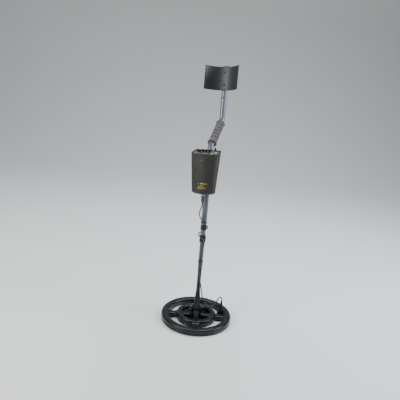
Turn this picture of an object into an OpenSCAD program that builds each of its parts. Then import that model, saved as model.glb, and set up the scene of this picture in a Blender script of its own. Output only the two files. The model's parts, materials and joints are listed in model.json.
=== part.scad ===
// Hand-held metal detector standing on its search coil.
// Millimetres, +Z up, origin at the centre of the coil's underside.
// +Y is the side the user stands on, X runs along the coil's tilt axis.

/* [Stance] */
// Lean of the stem back from upright, degrees
lean = 12.5; // [0:0.5:30]
// Turn of the upper stem in the twist lock, degrees
twist = -22; // [-40:1:0]

/* [Search coil] */
// Outside diameter of the coil
coil_d = 280; // [240:2:340]
// Radial width of the outer ring
ring_w = 27; // [22:1:32]
// Height of the outer ring
ring_h = 25; // [21:1:32]
// Outside diameter of the inner ring
inner_d = 156; // [120:2:170]
// Radial width of the inner ring
inner_w = 20; // [16:1:26]
// Width of each spoke
spoke_w = 24; // [16:1:30]
// Wall of the coil's plastic shell
coil_wall = 2.6; // [2:0.1:3.4]
// Thickness of the coil's bottom cover
base_t = 2.4; // [1.6:0.1:3]

/* [Coil pivot] */
// Height of the pivot above the floor
pivot_h = 47; // [44:1:60]
// Width of the rod's end block
rod_end_w = 22; // [16:1:26]
// Depth of the rod's end block
rod_end_d = 26; // [22:1:30]
// Thickness of each friction washer
washer_t = 1.3; // [1:0.1:2]
// Thickness of each fork ear
ear_t = 6; // [4:0.5:8]
// Diameter of the pivot bolt
bolt_d = 8; // [6:0.5:10]

/* [Stem] */
// Diameter of the plastic lower rod
rod_d = 15.4; // [13:0.1:15.8]
// Outside diameter of the lower tube
lower_d = 18; // [16:0.5:20]
// Outside diameter of the middle tube
middle_d = 20.2; // [19:0.1:22]
// Outside diameter of the upper tube
upper_d = 22.5; // [21:0.1:26]
// Where the lower tube starts, along the stem from the pivot
lower_from = 161; // [140:1:180]
// Length of the lower tube
lower_len = 199; // [190:1:215]
// Where the twist lock nut starts
nut_from = 268; // [260:1:275]
// Outside diameter of the twist lock nut
nut_d = 26; // [25:0.5:34]
// Where the upper tube starts
upper_from = 321; // [316:1:326]
// Where the spring button sits
button_at = 426; // [420:1:430]
// Spacing of the adjustment holes
hole_gap = 60; // [40:1:65]

/* [Handle] */
// Where the lower bend is
bend_at = 650; // [640:1:720]
// Angle of the handle from the stem
bend_angle = 42; // [30:1:50]
// Distance between the two bends
bend_gap = 154; // [140:1:190]
// Bend radius of the tube
bend_r = 38; // [30:1:45]
// Diameter of the foam grip
grip_d = 34; // [30:1:40]
// Length of the foam grip
grip_len = 122; // [100:1:124]
// Where the tube ends, along the stem
stem_end = 985; // [960:1:1100]

/* [Armrest] */
// Inside radius of the armrest
cup_r = 78; // [60:1:90]
// Length of the armrest
cup_len = 96; // [80:1:120]
// Half of the angle that the armrest spans
cup_half_angle = 61; // [45:1:65]
// Thickness of the armrest plate
cup_t = 3; // [2:0.1:4]
// Spacing of the two armrest bolts
cup_bolt_gap = 50; // [30:1:60]

/* [Control box] */
// Where the box's bottom is, along the stem
box_from = 461; // [455:1:470]
// Height of the box at its front
box_h = 150; // [130:1:155]
// Width of the box at its top
box_w_top = 106; // [100:1:130]
// Width of the box at its bottom
box_w_bot = 88; // [76:1:100]
// Depth of the box at its top
box_d_top = 66; // [60:1:72]
// Depth of the box at its bottom
box_d_bot = 52; // [48:1:60]
// Gap between the tube and the box's back
box_gap = 4; // [3:0.5:8]
// Thickness of the leatherette cover
cover_t = 2.2; // [1.5:0.1:3]
// Wall of the housing inside the cover
box_wall = 2.4; // [2:0.1:3]
// Tilt of the control panel towards the front
panel_tilt = 18.5; // [10:0.5:25]

/* [Controls] */
// Diameter of the large knob
knob_big_d = 15; // [12:0.5:16]
// Diameter of the small knobs
knob_d = 11; // [9:0.5:12]
// Diameter of the knob shafts
shaft_d = 6; // [4:0.5:6.5]
// Radius of the headphone socket's bore
jack_r = 3.2; // [2:0.1:3.4]

/* [Cable] */
// Diameter of the coil cable
cable_d = 4.6; // [4.2:0.1:4.6]

/* [Hidden] */
$fn = 64;

// Fits
run_fit = 0.05;
gap = 0.3;
eps = 0.01;
cut = 1;

// Coil
coil_r = coil_d / 2;
ring_round = 6;
inner_r = inner_d / 2;
inner_h = ring_h + 2;
spoke_h = ring_h - 4;
web_h = 7;
lip_r = 1.2;
transmit_w = 6;
transmit_h = 5;
receive_w = 5;
receive_h = 4;
cable_spot = [(coil_r - ring_w) * cos(25) - 1, (coil_r - ring_w) * sin(25) - 1];
boss_r = 12;
gland_from = ring_h - 3;
gland_r = 8.5;
gland_h = 40;
gland_tip_r = cable_d / 2 + 0.5;

// Pivot
bolt_r = bolt_d / 2;
fork_gap = rod_end_w + 2 * washer_t + 2 * gap;
ear_r = rod_end_d / 2 + 2;
ear_out = fork_gap / 2 + ear_t;
nut_hub_l = 9;
wing_span = 15;
head_h = 5;

// Stem
rod_r = rod_d / 2;
lower_r = lower_d / 2;
middle_r = middle_d / 2;
upper_r = upper_d / 2;
nut_len = 28;
nut_lip = 2.2;
collet_len = 16;
collet_t = 2;
middle_from = nut_from + nut_lip + collet_len + 2;
middle_to = button_at + 28;
rod_in_tube = 44;
rivet_at = lower_from + 24;
rivet_r = 2;
button_r = 3;
button_out = 2.2;
clip_t = 0.8;
clip_w = 6;
ferrule_t = 1;
ferrule_len = 20;
ferrule_lip = 4;

// Handle
bend_tan = bend_r * tan(bend_angle / 2);
offset_y = bend_gap * sin(bend_angle);
top_bend_at = bend_at + bend_gap * cos(bend_angle);
grip_bead = 2.4;
grip_bead_w = 8;
groove_w = 4;

// Armrest
cup_to = stem_end - 4;
cup_mid = cup_to - cup_len / 2;
cup_out = cup_r + cup_t;
saddle_gap = 3;
cup_y = offset_y - upper_r - saddle_gap - cup_out;
cup_band = 10;
cup_band_t = 1.2;
cup_bolt_r = 2.5;
saddle_w = 18;
saddle_len = cup_bolt_gap + 24;

// Control box
box_back = -upper_r - box_gap;
box_tall = 60;
box_round = 17;
foot_round_x = 22;
foot_round_y = 9;
bow = 7;
rim_h = 3;
panel_t = 3;
panel_y = box_back - box_d_top / 2;
panel_z = box_from + box_h + tan(panel_tilt) * box_d_top / 2;
panel_w = box_w_top - 2 * cover_t - 2.6;
panel_d = (box_d_top - 2 * cover_t) / cos(panel_tilt) - 3.5;
clamp_t = 3;
clamp_w = 16;
clamp_spots = [box_from + 26, box_from + box_h - 28];
clamp_foot_w = 22;
knob_y = 15;
knob_xs = [-33, -17, -3, 11];
knob_h = 10;
pot_r = 8;
pot_h = 9;
lever_x = 36;
lever_y = 12;
lever_r = 3.6;
lever_len = 19;
front_row_y = -12;
meter_w = 32;
meter_d = 18;
meter_h = 16;
needle_pin_r = 0.6;
test_x = -32;
test_r = 4;
jack_x = 31;
jack_len = 14;
socket_y = -36;
socket_r = 8;
socket_in = 10;
plug_r = 6.6;
plug_len = 24;
plug_from = box_from - 6;
boot_len = 8;

// Route of the coil cable: beside the stem as [x, y, distance from the pivot]
upper_route = [
  [-13.5, -33.4, 423], [-14.5, -33, 412], [-18.5, -30.5, 399], [-21, -27, 386],
  [-18.5, -22.5, 373], [-12, -19.5, 361], [-5, -15.5, 350], [0, -14.6, 344]
];
wrap_upper_route = [
  [0, -14.6, 344], [8, -14, 339], [14.5, -8, 333], [16.5, 1, 327], [13, 10.5, 321],
  [4, 16.5, 315], [-6.5, 15.8, 309], [-14.5, 9, 303], [-17, 0, 298]
];
wrap_lower_route = [
  [-17, 0, 298], [-14.8, -9, 293], [-7.5, -16, 287], [2, -17.5, 280], [7.5, -16.4, 270],
  [7, -15.2, 256], [3, -14, 240], [-2, -13.4, 222], [-4.6, -12.2, 207], [-5, -11.3, 195]
];
lower_route = [
  [-5, -11.3, 195], [-4.8, -11.6, 178], [-3, -12, 156], [0.5, -12.5, 134], [4.5, -14, 114],
  [9, -16.5, 94], [13.5, -19, 74]
];
// The last stretch, in the coil's own frame
coil_route = [
  [20, -9, 98], [27, -2, 80], [36, 6, 62], [47, 14, 49], [59, 22, 44.5], [71, 30, 50],
  [81.5, 36.5, 61], [89.5, 41, 72], [95.5, 44, 78], [99.5, 46, 76.5]
];
spline_step = 3;
tie_w = 5;
cable_sides = 8;

// ---------- frames ----------

module stem_frame() {
  translate([0, 0, pivot_h]) rotate([-lean, 0, 0]) children();
}

module upper_frame() {
  stem_frame() rotate([0, 0, twist]) children();
}

module handle_frame() {
  upper_frame() translate([0, 0, bend_at]) rotate([-bend_angle, 0, 0]) children();
}

module panel_frame() {
  upper_frame() translate([0, panel_y, panel_z]) rotate([panel_tilt, 0, 0]) children();
}

// ---------- shared shapes ----------

module tube(r, wall, length) {
  difference() {
    cylinder(r = r, h = length);
    translate([0, 0, -cut]) cylinder(r = r - wall, h = length + 2 * cut);
  }
}

module round_top(x0, w, z0, z1, r) {
  translate([x0, z0]) square([w, z1 - z0 - r]);
  translate([x0 + r, z0]) square([w - 2 * r, z1 - z0]);
  for (x = [x0 + r, x0 + w - r]) translate([x, z1 - r]) circle(r);
}

module rounded_plate(w, d, r, h) {
  linear_extrude(h) {
    square([w - 2 * r, d], center = true);
    square([w, d - 2 * r], center = true);
    for (x = [-1, 1], y = [-1, 1]) translate([x * (w / 2 - r), y * (d / 2 - r)]) circle(r);
  }
}

module across(r, length) {
  rotate([0, 90, 0]) cylinder(r = r, h = length, center = true);
}

// ---------- search coil ----------

module ring(outer, w, h) {
  rotate_extrude($fn = 128) round_top(outer - w, w, base_t, h, ring_round);
}

module spoke_bars(w, h, reach) {
  for (a = [0, 90]) rotate([90, 0, 90 + a]) translate([0, 0, -reach])
    linear_extrude(2 * reach) round_top(-w / 2, w, base_t, h, 4);
}

module ears() {
  for (side = [-1, 1]) translate([side * (fork_gap + ear_t) / 2, 0, 0]) {
    translate([0, 0, pivot_h]) across(ear_r, ear_t);
    translate([-ear_t / 2, -ear_r, base_t]) cube([ear_t, 2 * ear_r, pivot_h - base_t]);
  }
}

module coil_housing() {
  color([0.11, 0.11, 0.12]) difference() {
    union() {
      ring(coil_r, ring_w, ring_h);
      ring(inner_r, inner_w, inner_h);
      spoke_bars(spoke_w, spoke_h, coil_r - ring_w + 8);
      translate([0, 0, base_t]) cylinder(r = inner_r - inner_w + 4, h = web_h - base_t);
      translate([cable_spot[0], cable_spot[1], base_t]) cylinder(r = boss_r, h = gland_from - base_t);
      ears();
    }
    translate([0, 0, -cut]) rotate_extrude($fn = 128)
      translate([coil_r - ring_w + coil_wall, 0])
        square([ring_w - 2 * coil_wall, ring_h - 6 + cut]);
    translate([0, 0, -cut]) rotate_extrude($fn = 128)
      translate([inner_r - inner_w + coil_wall, 0])
        square([inner_w - 2 * coil_wall, inner_h - 6 + cut]);
    translate([0, -spoke_w / 2 + 5, -cut])
      cube([coil_r - ring_w + coil_wall + 2, spoke_w - 10, spoke_h - 6 + cut]);
    translate([cable_spot[0], cable_spot[1], gland_from]) cylinder(r = gland_r + gap, h = ring_h);
    translate([0, 0, pivot_h]) across(bolt_r + run_fit, 2 * ear_out + cut);
  }
}

module coil_base_cover() {
  color([0.09, 0.09, 0.1]) {
    rotate_extrude($fn = 128) translate([coil_r - ring_w + lip_r, 0]) {
      square([ring_w - 2 * lip_r, base_t]);
    }
    cylinder(r = inner_r - lip_r, h = base_t, $fn = 128);
    for (a = [0, 90]) rotate([0, 0, a]) translate([-coil_r + ring_w / 2, -spoke_w / 2 + lip_r, 0])
      cube([coil_d - ring_w, spoke_w - 2 * lip_r, base_t]);
    translate([cable_spot[0], cable_spot[1], 0]) cylinder(r = boss_r - lip_r, h = base_t);
  }
}

module winding(mid_r, w, h) {
  rotate_extrude($fn = 128) translate([mid_r - w / 2, base_t]) square([w, h]);
}

module transmit_winding() {
  color([0.72, 0.38, 0.16]) winding(coil_r - ring_w / 2, transmit_w, transmit_h);
}

module receive_winding() {
  color([0.75, 0.42, 0.2]) winding(inner_r - inner_w / 2, receive_w, receive_h);
}

module cable_gland() {
  color([0.07, 0.07, 0.08]) translate([cable_spot[0], cable_spot[1], gland_from]) difference() {
    union() {
      cylinder(r = gland_r, h = 4);
      translate([0, 0, 4 - eps]) cylinder(r1 = 7, r2 = gland_tip_r, h = gland_h - 4 + eps);
    }
    translate([0, 0, 4]) cylinder(r = cable_d / 2 + run_fit, h = gland_h);
  }
}

// ---------- coil pivot ----------

module pivot_bolt() {
  reach = 2 * ear_out + nut_hub_l + 8;
  color([0.1, 0.1, 0.11]) translate([0, 0, pivot_h]) {
    translate([ear_out + eps - reach / 2, 0, 0]) across(bolt_r, reach);
    translate([ear_out + head_h / 2, 0, 0]) across(8, head_h);
    translate([ear_out + head_h, 0, 0]) rotate([0, 90, 0]) cylinder(r1 = 8, r2 = 6, h = 1.6);
  }
}

module friction_washers() {
  color([0.05, 0.05, 0.05])
    for (side = [-1, 1]) translate([side * (fork_gap - washer_t) / 2, 0, pivot_h])
      difference() {
        across(rod_end_d / 2 - 1, washer_t);
        across(bolt_r + run_fit, washer_t + cut);
      }
}

module wing_nut() {
  hub_x = -ear_out - gap - nut_hub_l / 2;
  color([0.08, 0.08, 0.09]) translate([hub_x, 0, pivot_h]) difference() {
    union() {
      across(7.5, nut_hub_l);
      for (side = [-1, 1]) translate([-2, 0, 0]) rotate([side * 62, 0, 0])
        translate([-nut_hub_l / 2, -2, 0]) {
          cube([nut_hub_l, 4, wing_span - 4]);
          translate([nut_hub_l / 2, 2, wing_span - 4]) rotate([90, 0, 0])
            cylinder(r = nut_hub_l / 2, h = 4, center = true);
        }
    }
    across(bolt_r + run_fit, 4 * nut_hub_l);
  }
}

// ---------- lower stem ----------

module lower_rod() {
  block_to = 44;
  taper_to = 88;
  color([0.12, 0.12, 0.13]) stem_frame() difference() {
    union() {
      across(rod_end_d / 2, rod_end_w);
      intersection() {
        translate([-rod_end_w / 2, -rod_end_d / 2, 0]) cube([rod_end_w, rod_end_d, block_to]);
        cylinder(r = rod_end_d / 2 + 1.5, h = block_to);
      }
      translate([0, 0, block_to - eps])
        cylinder(r1 = rod_end_w / 2, r2 = rod_r, h = taper_to - block_to + eps);
      translate([0, 0, taper_to - eps]) cylinder(r = rod_r, h = lower_from + rod_in_tube - taper_to);
      translate([0, 0, lower_from - 5]) cylinder(r = lower_r - 0.4, h = 5);
    }
    across(bolt_r + run_fit, rod_end_w + cut);
    translate([0, 0, rivet_at]) across(rivet_r + run_fit, 4 * rod_r);
  }
}

module lower_tube() {
  color([0.36, 0.39, 0.44]) stem_frame() difference() {
    translate([0, 0, lower_from]) tube(lower_r, lower_r - rod_r - run_fit, lower_len);
    translate([0, 0, rivet_at]) across(rivet_r + run_fit, 4 * lower_r);
    translate([lower_r, 0, lower_from + 91]) across(2.4, lower_r);
  }
}

module rod_rivet() {
  color([0.6, 0.62, 0.65]) stem_frame() translate([0, 0, rivet_at]) {
    across(rivet_r, 2 * lower_r + 2 * eps);
    for (side = [-1, 1]) translate([side * (lower_r + 0.5), 0, 0]) across(3.2, 1);
  }
}

// ---------- twist lock ----------

module lock_collet() {
  color([0.2, 0.2, 0.22]) stem_frame() translate([0, 0, nut_from + nut_lip + 1]) difference() {
    cylinder(r = lower_r + run_fit + collet_t, h = collet_len - 1);
    translate([0, 0, -cut]) cylinder(r = lower_r + run_fit, h = collet_len + 2 * cut);
    translate([0, -1, -cut]) cube([2 * lower_r, 2, collet_len + 2 * cut]);
  }
}

module lock_nut() {
  ribs = 18;
  color([0.07, 0.07, 0.08]) upper_frame() translate([0, 0, nut_from]) difference() {
    union() {
      cylinder(r = nut_d / 2 - 0.8, h = nut_len);
      for (i = [0 : ribs - 1]) rotate([0, 0, i * 360 / ribs])
        translate([nut_d / 2 - 1.2, 0, 3]) cylinder(r = 1.2, h = nut_len - 6, $fn = 16);
    }
    translate([0, 0, -cut]) cylinder(r = lower_r + gap, h = nut_lip + 2 * cut);
    translate([0, 0, nut_lip]) cylinder(r = lower_r + collet_t + run_fit + gap, h = collet_len + 2);
    translate([0, 0, nut_lip + collet_len]) cylinder(r = middle_r + run_fit, h = nut_len);
  }
}

// ---------- middle and upper stem ----------

module middle_tube() {
  color([0.5, 0.53, 0.58]) upper_frame() difference() {
    translate([0, 0, middle_from])
      tube(middle_r, middle_r - lower_r - run_fit, middle_to - middle_from);
    translate([middle_r, 0, button_at]) across(button_r + run_fit, middle_r);
  }
}

module button_clip() {
  leg = 12;
  bend_up = lower_r + run_fit - 0.9;
  color([0.7, 0.72, 0.74]) upper_frame() translate([0, 0, button_at]) {
    for (side = [-1, 1]) translate([side * (bend_up - clip_t / 2), 0, leg / 2 - 2])
      cube([clip_t, clip_w, leg + 4], center = true);
    translate([0, 0, leg - 0.1]) difference() {
      rotate([90, 0, 0]) cylinder(r = bend_up, h = clip_w, center = true);
      rotate([90, 0, 0]) cylinder(r = bend_up - clip_t, h = clip_w + cut, center = true);
      translate([0, 0, -bend_up]) cube(2 * bend_up, center = true);
    }
  }
}

module spring_button() {
  inner = lower_r + run_fit - 0.9;
  length = upper_r + button_out - inner;
  color([0.75, 0.77, 0.8]) upper_frame() translate([inner, 0, button_at]) rotate([0, 90, 0]) {
    cylinder(r = button_r, h = length - 1);
    translate([0, 0, length - 1 - eps]) cylinder(r1 = button_r, r2 = button_r - 1, h = 1);
  }
}

module stem_ferrule() {
  color([0.07, 0.07, 0.08]) upper_frame() translate([0, 0, upper_from - ferrule_lip]) difference() {
    cylinder(r = upper_r + ferrule_t, h = ferrule_len);
    translate([0, 0, -cut]) cylinder(r = middle_r + run_fit, h = ferrule_lip + 2 * cut);
    translate([0, 0, ferrule_lip]) cylinder(r = upper_r + run_fit, h = ferrule_len);
  }
}

module s_tube(r, over) {
  translate([0, 0, upper_from - over])
    cylinder(r = r, h = bend_at - bend_tan - upper_from + over + eps);
  translate([0, bend_r, bend_at - bend_tan]) rotate([90, 0, -90])
    rotate_extrude(angle = bend_angle) translate([bend_r, 0]) circle(r);
  translate([0, 0, bend_at]) rotate([-bend_angle, 0, 0])
    translate([0, 0, bend_tan - eps]) cylinder(r = r, h = bend_gap - 2 * bend_tan + 2 * eps);
  translate([0, offset_y - bend_r, top_bend_at + bend_tan]) rotate([-90, 0, 90])
    rotate_extrude(angle = bend_angle) translate([bend_r, 0]) circle(r);
  translate([0, offset_y, top_bend_at + bend_tan - eps])
    cylinder(r = r, h = stem_end - top_bend_at - bend_tan + over + eps);
}

module cup_bolt_axes() {
  for (side = [-1, 1]) translate([0, offset_y, cup_mid + side * cup_bolt_gap / 2])
    rotate([90, 0, 0]) children();
}

module upper_tube() {
  color([0.5, 0.53, 0.58]) upper_frame() difference() {
    s_tube(upper_r, 0);
    s_tube(middle_r + run_fit, cut);
    for (step = [0, 1]) translate([upper_r, 0, button_at - step * hole_gap])
      across(button_r + run_fit, upper_r);
    for (step = [0, 1]) translate([0, 0, -step * cup_bolt_gap])
      cup_bolt_axes() cylinder(r = cup_bolt_r + run_fit, h = 3 * upper_r, center = true);
  }
}

module tube_end_plug() {
  color([0.06, 0.06, 0.07]) upper_frame() translate([0, offset_y, stem_end]) {
    cylinder(r = upper_r, h = 2);
    translate([0, 0, -12]) cylinder(r = middle_r, h = 12 + eps);
  }
}

module foam_grip() {
  mid = bend_gap / 2;
  color([0.16, 0.15, 0.15]) handle_frame() translate([0, 0, mid - grip_len / 2]) difference() {
    union() {
      cylinder(r = grip_d / 2, h = grip_len);
      for (z = [0, grip_len - grip_bead_w]) translate([0, 0, z])
        cylinder(r = grip_d / 2 + grip_bead, h = grip_bead_w);
    }
    translate([0, 0, -cut]) cylinder(r = upper_r + run_fit, h = grip_len + 2 * cut);
    for (i = [-1.5 : 1 : 1.5]) translate([0, 0, grip_len / 2 + i * 3 * groove_w])
      rotate_extrude() translate([grip_d / 2 + 0.6, 0]) circle(groove_w / 2, $fn = 24);
  }
}

// ---------- armrest ----------

// The part of a ring between two radii and two angles
module ring_sector(r_in, r_out, from, to) {
  reach = 2 * r_out;
  mid = (from + to) / 2;
  intersection() {
    difference() {
      circle(r_out, $fn = 128);
      circle(r_in, $fn = 128);
    }
    polygon([
      [0, 0],
      [reach * cos(from), reach * sin(from)],
      [reach * cos(mid), reach * sin(mid)],
      [reach * cos(to), reach * sin(to)]
    ]);
  }
}

module armrest() {
  from = 90 - cup_half_angle;
  to = 90 + cup_half_angle;
  color([0.21, 0.23, 0.25]) upper_frame() difference() {
    translate([0, cup_y, cup_to - cup_len]) linear_extrude(cup_len) {
      ring_sector(cup_r, cup_out, from, to);
      ring_sector(cup_r, cup_out + cup_band_t, from, from + cup_band);
      ring_sector(cup_r, cup_out + cup_band_t, to - cup_band, to);
    }
    cup_bolt_axes() cylinder(r = cup_bolt_r + run_fit, h = 60);
  }
}

module armrest_saddle() {
  color([0.07, 0.07, 0.08]) upper_frame() difference() {
    translate([-saddle_w / 2, offset_y - upper_r - saddle_gap, cup_mid - saddle_len / 2])
      cube([saddle_w, upper_r, saddle_len]);
    translate([0, offset_y, cup_mid - saddle_len]) cylinder(r = upper_r + run_fit, h = 2 * saddle_len);
    translate([0, cup_y, cup_mid - saddle_len])
      cylinder(r = cup_out + run_fit, h = 2 * saddle_len, $fn = 128);
    cup_bolt_axes() cylinder(r = cup_bolt_r + run_fit, h = 60);
  }
}

module armrest_bolts() {
  head_r = 5.5;
  seat = upper_r + saddle_gap + cup_t + cup_r - sqrt(cup_r * cup_r - head_r * head_r);
  color([0.65, 0.67, 0.7]) upper_frame() cup_bolt_axes() {
    translate([0, 0, -upper_r - 7]) cylinder(r = cup_bolt_r, h = seat + upper_r + 7 + eps);
    translate([0, 0, seat]) cylinder(r1 = head_r, r2 = 3.5, h = 2.6);
  }
}

module armrest_nuts() {
  color([0.6, 0.62, 0.65]) upper_frame() cup_bolt_axes() translate([0, 0, -upper_r - 4.6])
    difference() {
      cylinder(r = 5, h = 4, $fn = 6);
      translate([0, 0, -cut]) cylinder(r = cup_bolt_r + run_fit, h = 4 + 2 * cut);
    }
}

// ---------- control box ----------

module box_outline(w, d) {
  r = min(box_round, (d - bow) / 2);
  chord = w / 2 - r;
  bow_r = (chord * chord + bow * bow) / (2 * bow);
  hull() {
    for (x = [-1, 1]) {
      translate([x * (w / 2 - r), -d + r + bow]) circle(r, $fn = 40);
      translate([x * (w / 2 - 9), -9]) circle(9, $fn = 24);
    }
    translate([0, -d + bow_r]) intersection() {
      circle(bow_r, $fn = 128);
      translate([-chord, -bow_r]) square([2 * chord, bow]);
    }
  }
}

// The box's solid shape, drawn in by inset all round and carried up past the panel
module box_shape(inset) {
  steps = 5;
  growth_w = (box_w_top - box_w_bot) / box_h;
  growth_d = (box_d_top - box_d_bot) / box_h;
  translate([0, box_back, box_from]) hull() {
    for (i = [0 : steps]) {
      a = 90 * i / steps;
      in_x = foot_round_x * (1 - sin(a));
      in_y = foot_round_y * (1 - sin(a));
      z = foot_round_y * (1 - cos(a)) + inset;
      translate([0, -inset - in_y, z]) linear_extrude(eps)
        box_outline(box_w_bot + growth_w * z - 2 * inset - 2 * in_x, box_d_bot + growth_d * z
          - 2 * inset - 2 * in_y);
    }
    top = box_h + box_tall;
    translate([0, -inset, top]) linear_extrude(eps)
      box_outline(box_w_bot + growth_w * top - 2 * inset, box_d_bot + growth_d * top - 2 * inset);
  }
}

// Everything above a height over the control panel
module above_panel(height) {
  translate([0, panel_y, panel_z]) rotate([panel_tilt, 0, 0])
    translate([-box_w_top, -box_w_top, height]) cube(2 * box_w_top);
}

module clamp_windows(grow) {
  for (z = clamp_spots) translate([0, box_back, z])
    cube([clamp_foot_w + 2 * grow, 3 * cover_t, clamp_w + 2 * grow], center = true);
}

module socket_hole(r) {
  translate([0, socket_y, box_from - 10]) cylinder(r = r, h = 24);
}

module box_cover() {
  color([0.15, 0.14, 0.13]) upper_frame() difference() {
    box_shape(0);
    box_shape(cover_t);
    above_panel(rim_h);
    clamp_windows(0.5);
    socket_hole(socket_r + gap);
  }
}

module control_housing() {
  color([0.1, 0.1, 0.11]) upper_frame() difference() {
    box_shape(cover_t + run_fit);
    box_shape(cover_t + box_wall);
    above_panel(-panel_t);
    socket_hole(socket_r - 1.5 + run_fit);
  }
}

module control_panel() {
  color([0.3, 0.3, 0.31]) panel_frame() difference() {
    translate([0, panel_d / 2, -panel_t]) linear_extrude(panel_t) box_outline(panel_w, panel_d);
    for (x = knob_xs) translate([x, knob_y, -panel_t - cut])
      cylinder(r = shaft_d / 2 + run_fit, h = panel_t + 2 * cut);
    translate([lever_x, lever_y, -panel_t - cut]) cylinder(r = 4 + run_fit, h = panel_t + 2 * cut);
    translate([test_x, front_row_y, -panel_t - cut])
      cylinder(r = test_r + run_fit, h = panel_t + 2 * cut);
    translate([jack_x, front_row_y, -panel_t - cut]) cylinder(r = 4.5, h = panel_t + 2 * cut);
    translate([0, front_row_y, -panel_t / 2])
      cube([meter_w - 4, meter_d - 4, panel_t + 2 * cut], center = true);
    for (x = [-1, 1]) translate([x * (panel_w / 2 - 5), 0, -panel_t - cut])
      cylinder(r = 1.5 + run_fit, h = panel_t + 2 * cut);
  }
}

module panel_screws() {
  color([0.6, 0.62, 0.65]) panel_frame()
    for (x = [-1, 1]) translate([x * (panel_w / 2 - 5), 0, 0]) {
      cylinder(r1 = 2.8, r2 = 2, h = 1);
      translate([0, 0, -8]) cylinder(r = 1.5, h = 8 + eps);
    }
}

module box_clamps() {
  color([0.08, 0.08, 0.09]) upper_frame() for (z = clamp_spots) translate([0, 0, z - clamp_w / 2])
    difference() {
      union() {
        cylinder(r = upper_r + clamp_t, h = clamp_w);
        translate([-clamp_foot_w / 2, box_back - cover_t, 0])
          cube([clamp_foot_w, -box_back + cover_t - 4, clamp_w]);
        translate([-3, 0, 0]) cube([6, upper_r + clamp_t + 6, clamp_w]);
      }
      translate([0, 0, -cut]) cylinder(r = upper_r + run_fit, h = clamp_w + 2 * cut);
      translate([-0.6, 0, -cut]) cube([1.2, 3 * upper_r, clamp_w + 2 * cut]);
      translate([0, upper_r + clamp_t + 2.4, clamp_w / 2]) across(1.5 + run_fit, 20);
    }
}

module clamp_screws() {
  color([0.65, 0.67, 0.7]) upper_frame() for (z = clamp_spots)
    translate([0, upper_r + clamp_t + 2.4, z]) {
      across(1.5, 12);
      translate([4.2, 0, 0]) across(2.8, 2.4);
      translate([-4.2, 0, 0]) across(2.8, 2.4);
    }
}

// ---------- inside the box ----------

board_y = box_back - box_d_bot / 2 - 2;
board_from = box_from + 44;
board_w = 78;
board_h = 74;
board_t = 1.6;
speaker_r = 19;
speaker_y = board_y - 17;
speaker_z = board_from + 34;
holder_from = box_from + socket_in;
holder_y = board_y + 2;

module circuit_board() {
  color([0.1, 0.4, 0.2]) upper_frame() {
    translate([-board_w / 2, board_y - board_t / 2, board_from]) cube([board_w, board_t, board_h]);
    for (spot = [[-26, 14], [-8, 14], [10, 14], [-26, 34], [10, 34]])
      translate([spot[0], board_y - 3.8, board_from + spot[1]]) cube([12, 3 + eps, 8]);
    for (x = [-18, 4, 24]) translate([x, board_y - 0.8 + eps, board_from + 58]) rotate([90, 0, 0])
      cylinder(r = 3, h = 8);
    for (x = [-1, 1], z = [8, board_h - 8])
      translate([x * (board_w / 2 - 7), box_back - cover_t - box_wall, board_from + z])
        rotate([90, 0, 0]) cylinder(r = 3, h = box_back - cover_t - box_wall - board_y);
  }
}

module loudspeaker() {
  color([0.2, 0.2, 0.22]) upper_frame()
    translate([0, speaker_y, speaker_z]) rotate([90, 0, 0]) difference() {
      union() {
        cylinder(r = speaker_r, h = 3);
        translate([0, 0, -5]) cylinder(r1 = 9, r2 = 17, h = 5 + eps);
        translate([0, 0, -9]) cylinder(r = 9, h = 4 + eps);
        translate([0, 0, speaker_y - board_y + board_t / 2]) cylinder(r = 7, h = 8);
      }
      translate([0, 0, 1]) cylinder(r = 16, h = 3);
    }
}

module battery_holder() {
  color([0.08, 0.08, 0.08]) upper_frame() translate([0, holder_y, holder_from]) difference() {
    translate([-29.4, -10.5, 0]) cube([58.8, 21, 24]);
    for (x = [-14.2, 14.2]) translate([x - 13.2, -8.7, 2]) cube([26.4, 17.4, 40]);
  }
}

module batteries() {
  color([0.25, 0.3, 0.35]) upper_frame() translate([0, holder_y, holder_from + 2])
    for (x = [-14.2, 14.2]) translate([x - 13, -8.5, 0]) cube([26, 17, 28]);
}

module potentiometers() {
  color([0.55, 0.56, 0.58]) panel_frame() for (x = knob_xs) translate([x, knob_y, 0]) {
    translate([0, 0, -panel_t - pot_h]) cylinder(r = min(pot_r, 6.6), h = pot_h);
    translate([0, 0, -panel_t - eps]) cylinder(r = shaft_d / 2, h = panel_t + 2);
  }
}

// ---------- controls ----------

module knob(x, d) {
  r = d / 2;
  panel_frame() translate([x, knob_y, gap]) difference() {
    union() {
      cylinder(r = r, h = knob_h - 1.5);
      translate([0, 0, knob_h - 1.5 - eps]) cylinder(r1 = r, r2 = r - 1.5, h = 1.5);
      translate([-0.6, 0, knob_h - 1.5]) cube([1.2, r - 1.8, 1.8]);
    }
    translate([0, 0, -cut]) cylinder(r = shaft_d / 2 + run_fit, h = 2 + cut);
  }
}

module tuning_knob() {
  color([0.12, 0.12, 0.13]) knob(knob_xs[0], knob_big_d);
}

module sensitivity_knob() {
  color([0.1, 0.1, 0.12]) knob(knob_xs[1], knob_d);
}

module discrimination_knob() {
  color([0.1, 0.1, 0.12]) knob(knob_xs[2], knob_d);
}

module volume_knob() {
  color([0.1, 0.1, 0.12]) knob(knob_xs[3], knob_d);
}

module power_switch() {
  color([0.7, 0.68, 0.6]) panel_frame() translate([lever_x, lever_y, 0]) difference() {
    union() {
      translate([0, 0, -panel_t - 1]) cylinder(r = 4, h = panel_t + 4);
      cylinder(r = 5.4, h = 1.4, $fn = 6);
      translate([-5, -6, -panel_t - 10]) cube([10, 12, 10]);
    }
    translate([0, 0, -panel_t]) cylinder(r1 = 1.6, r2 = 3.6, h = panel_t + 3 + eps);
  }
}

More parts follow.
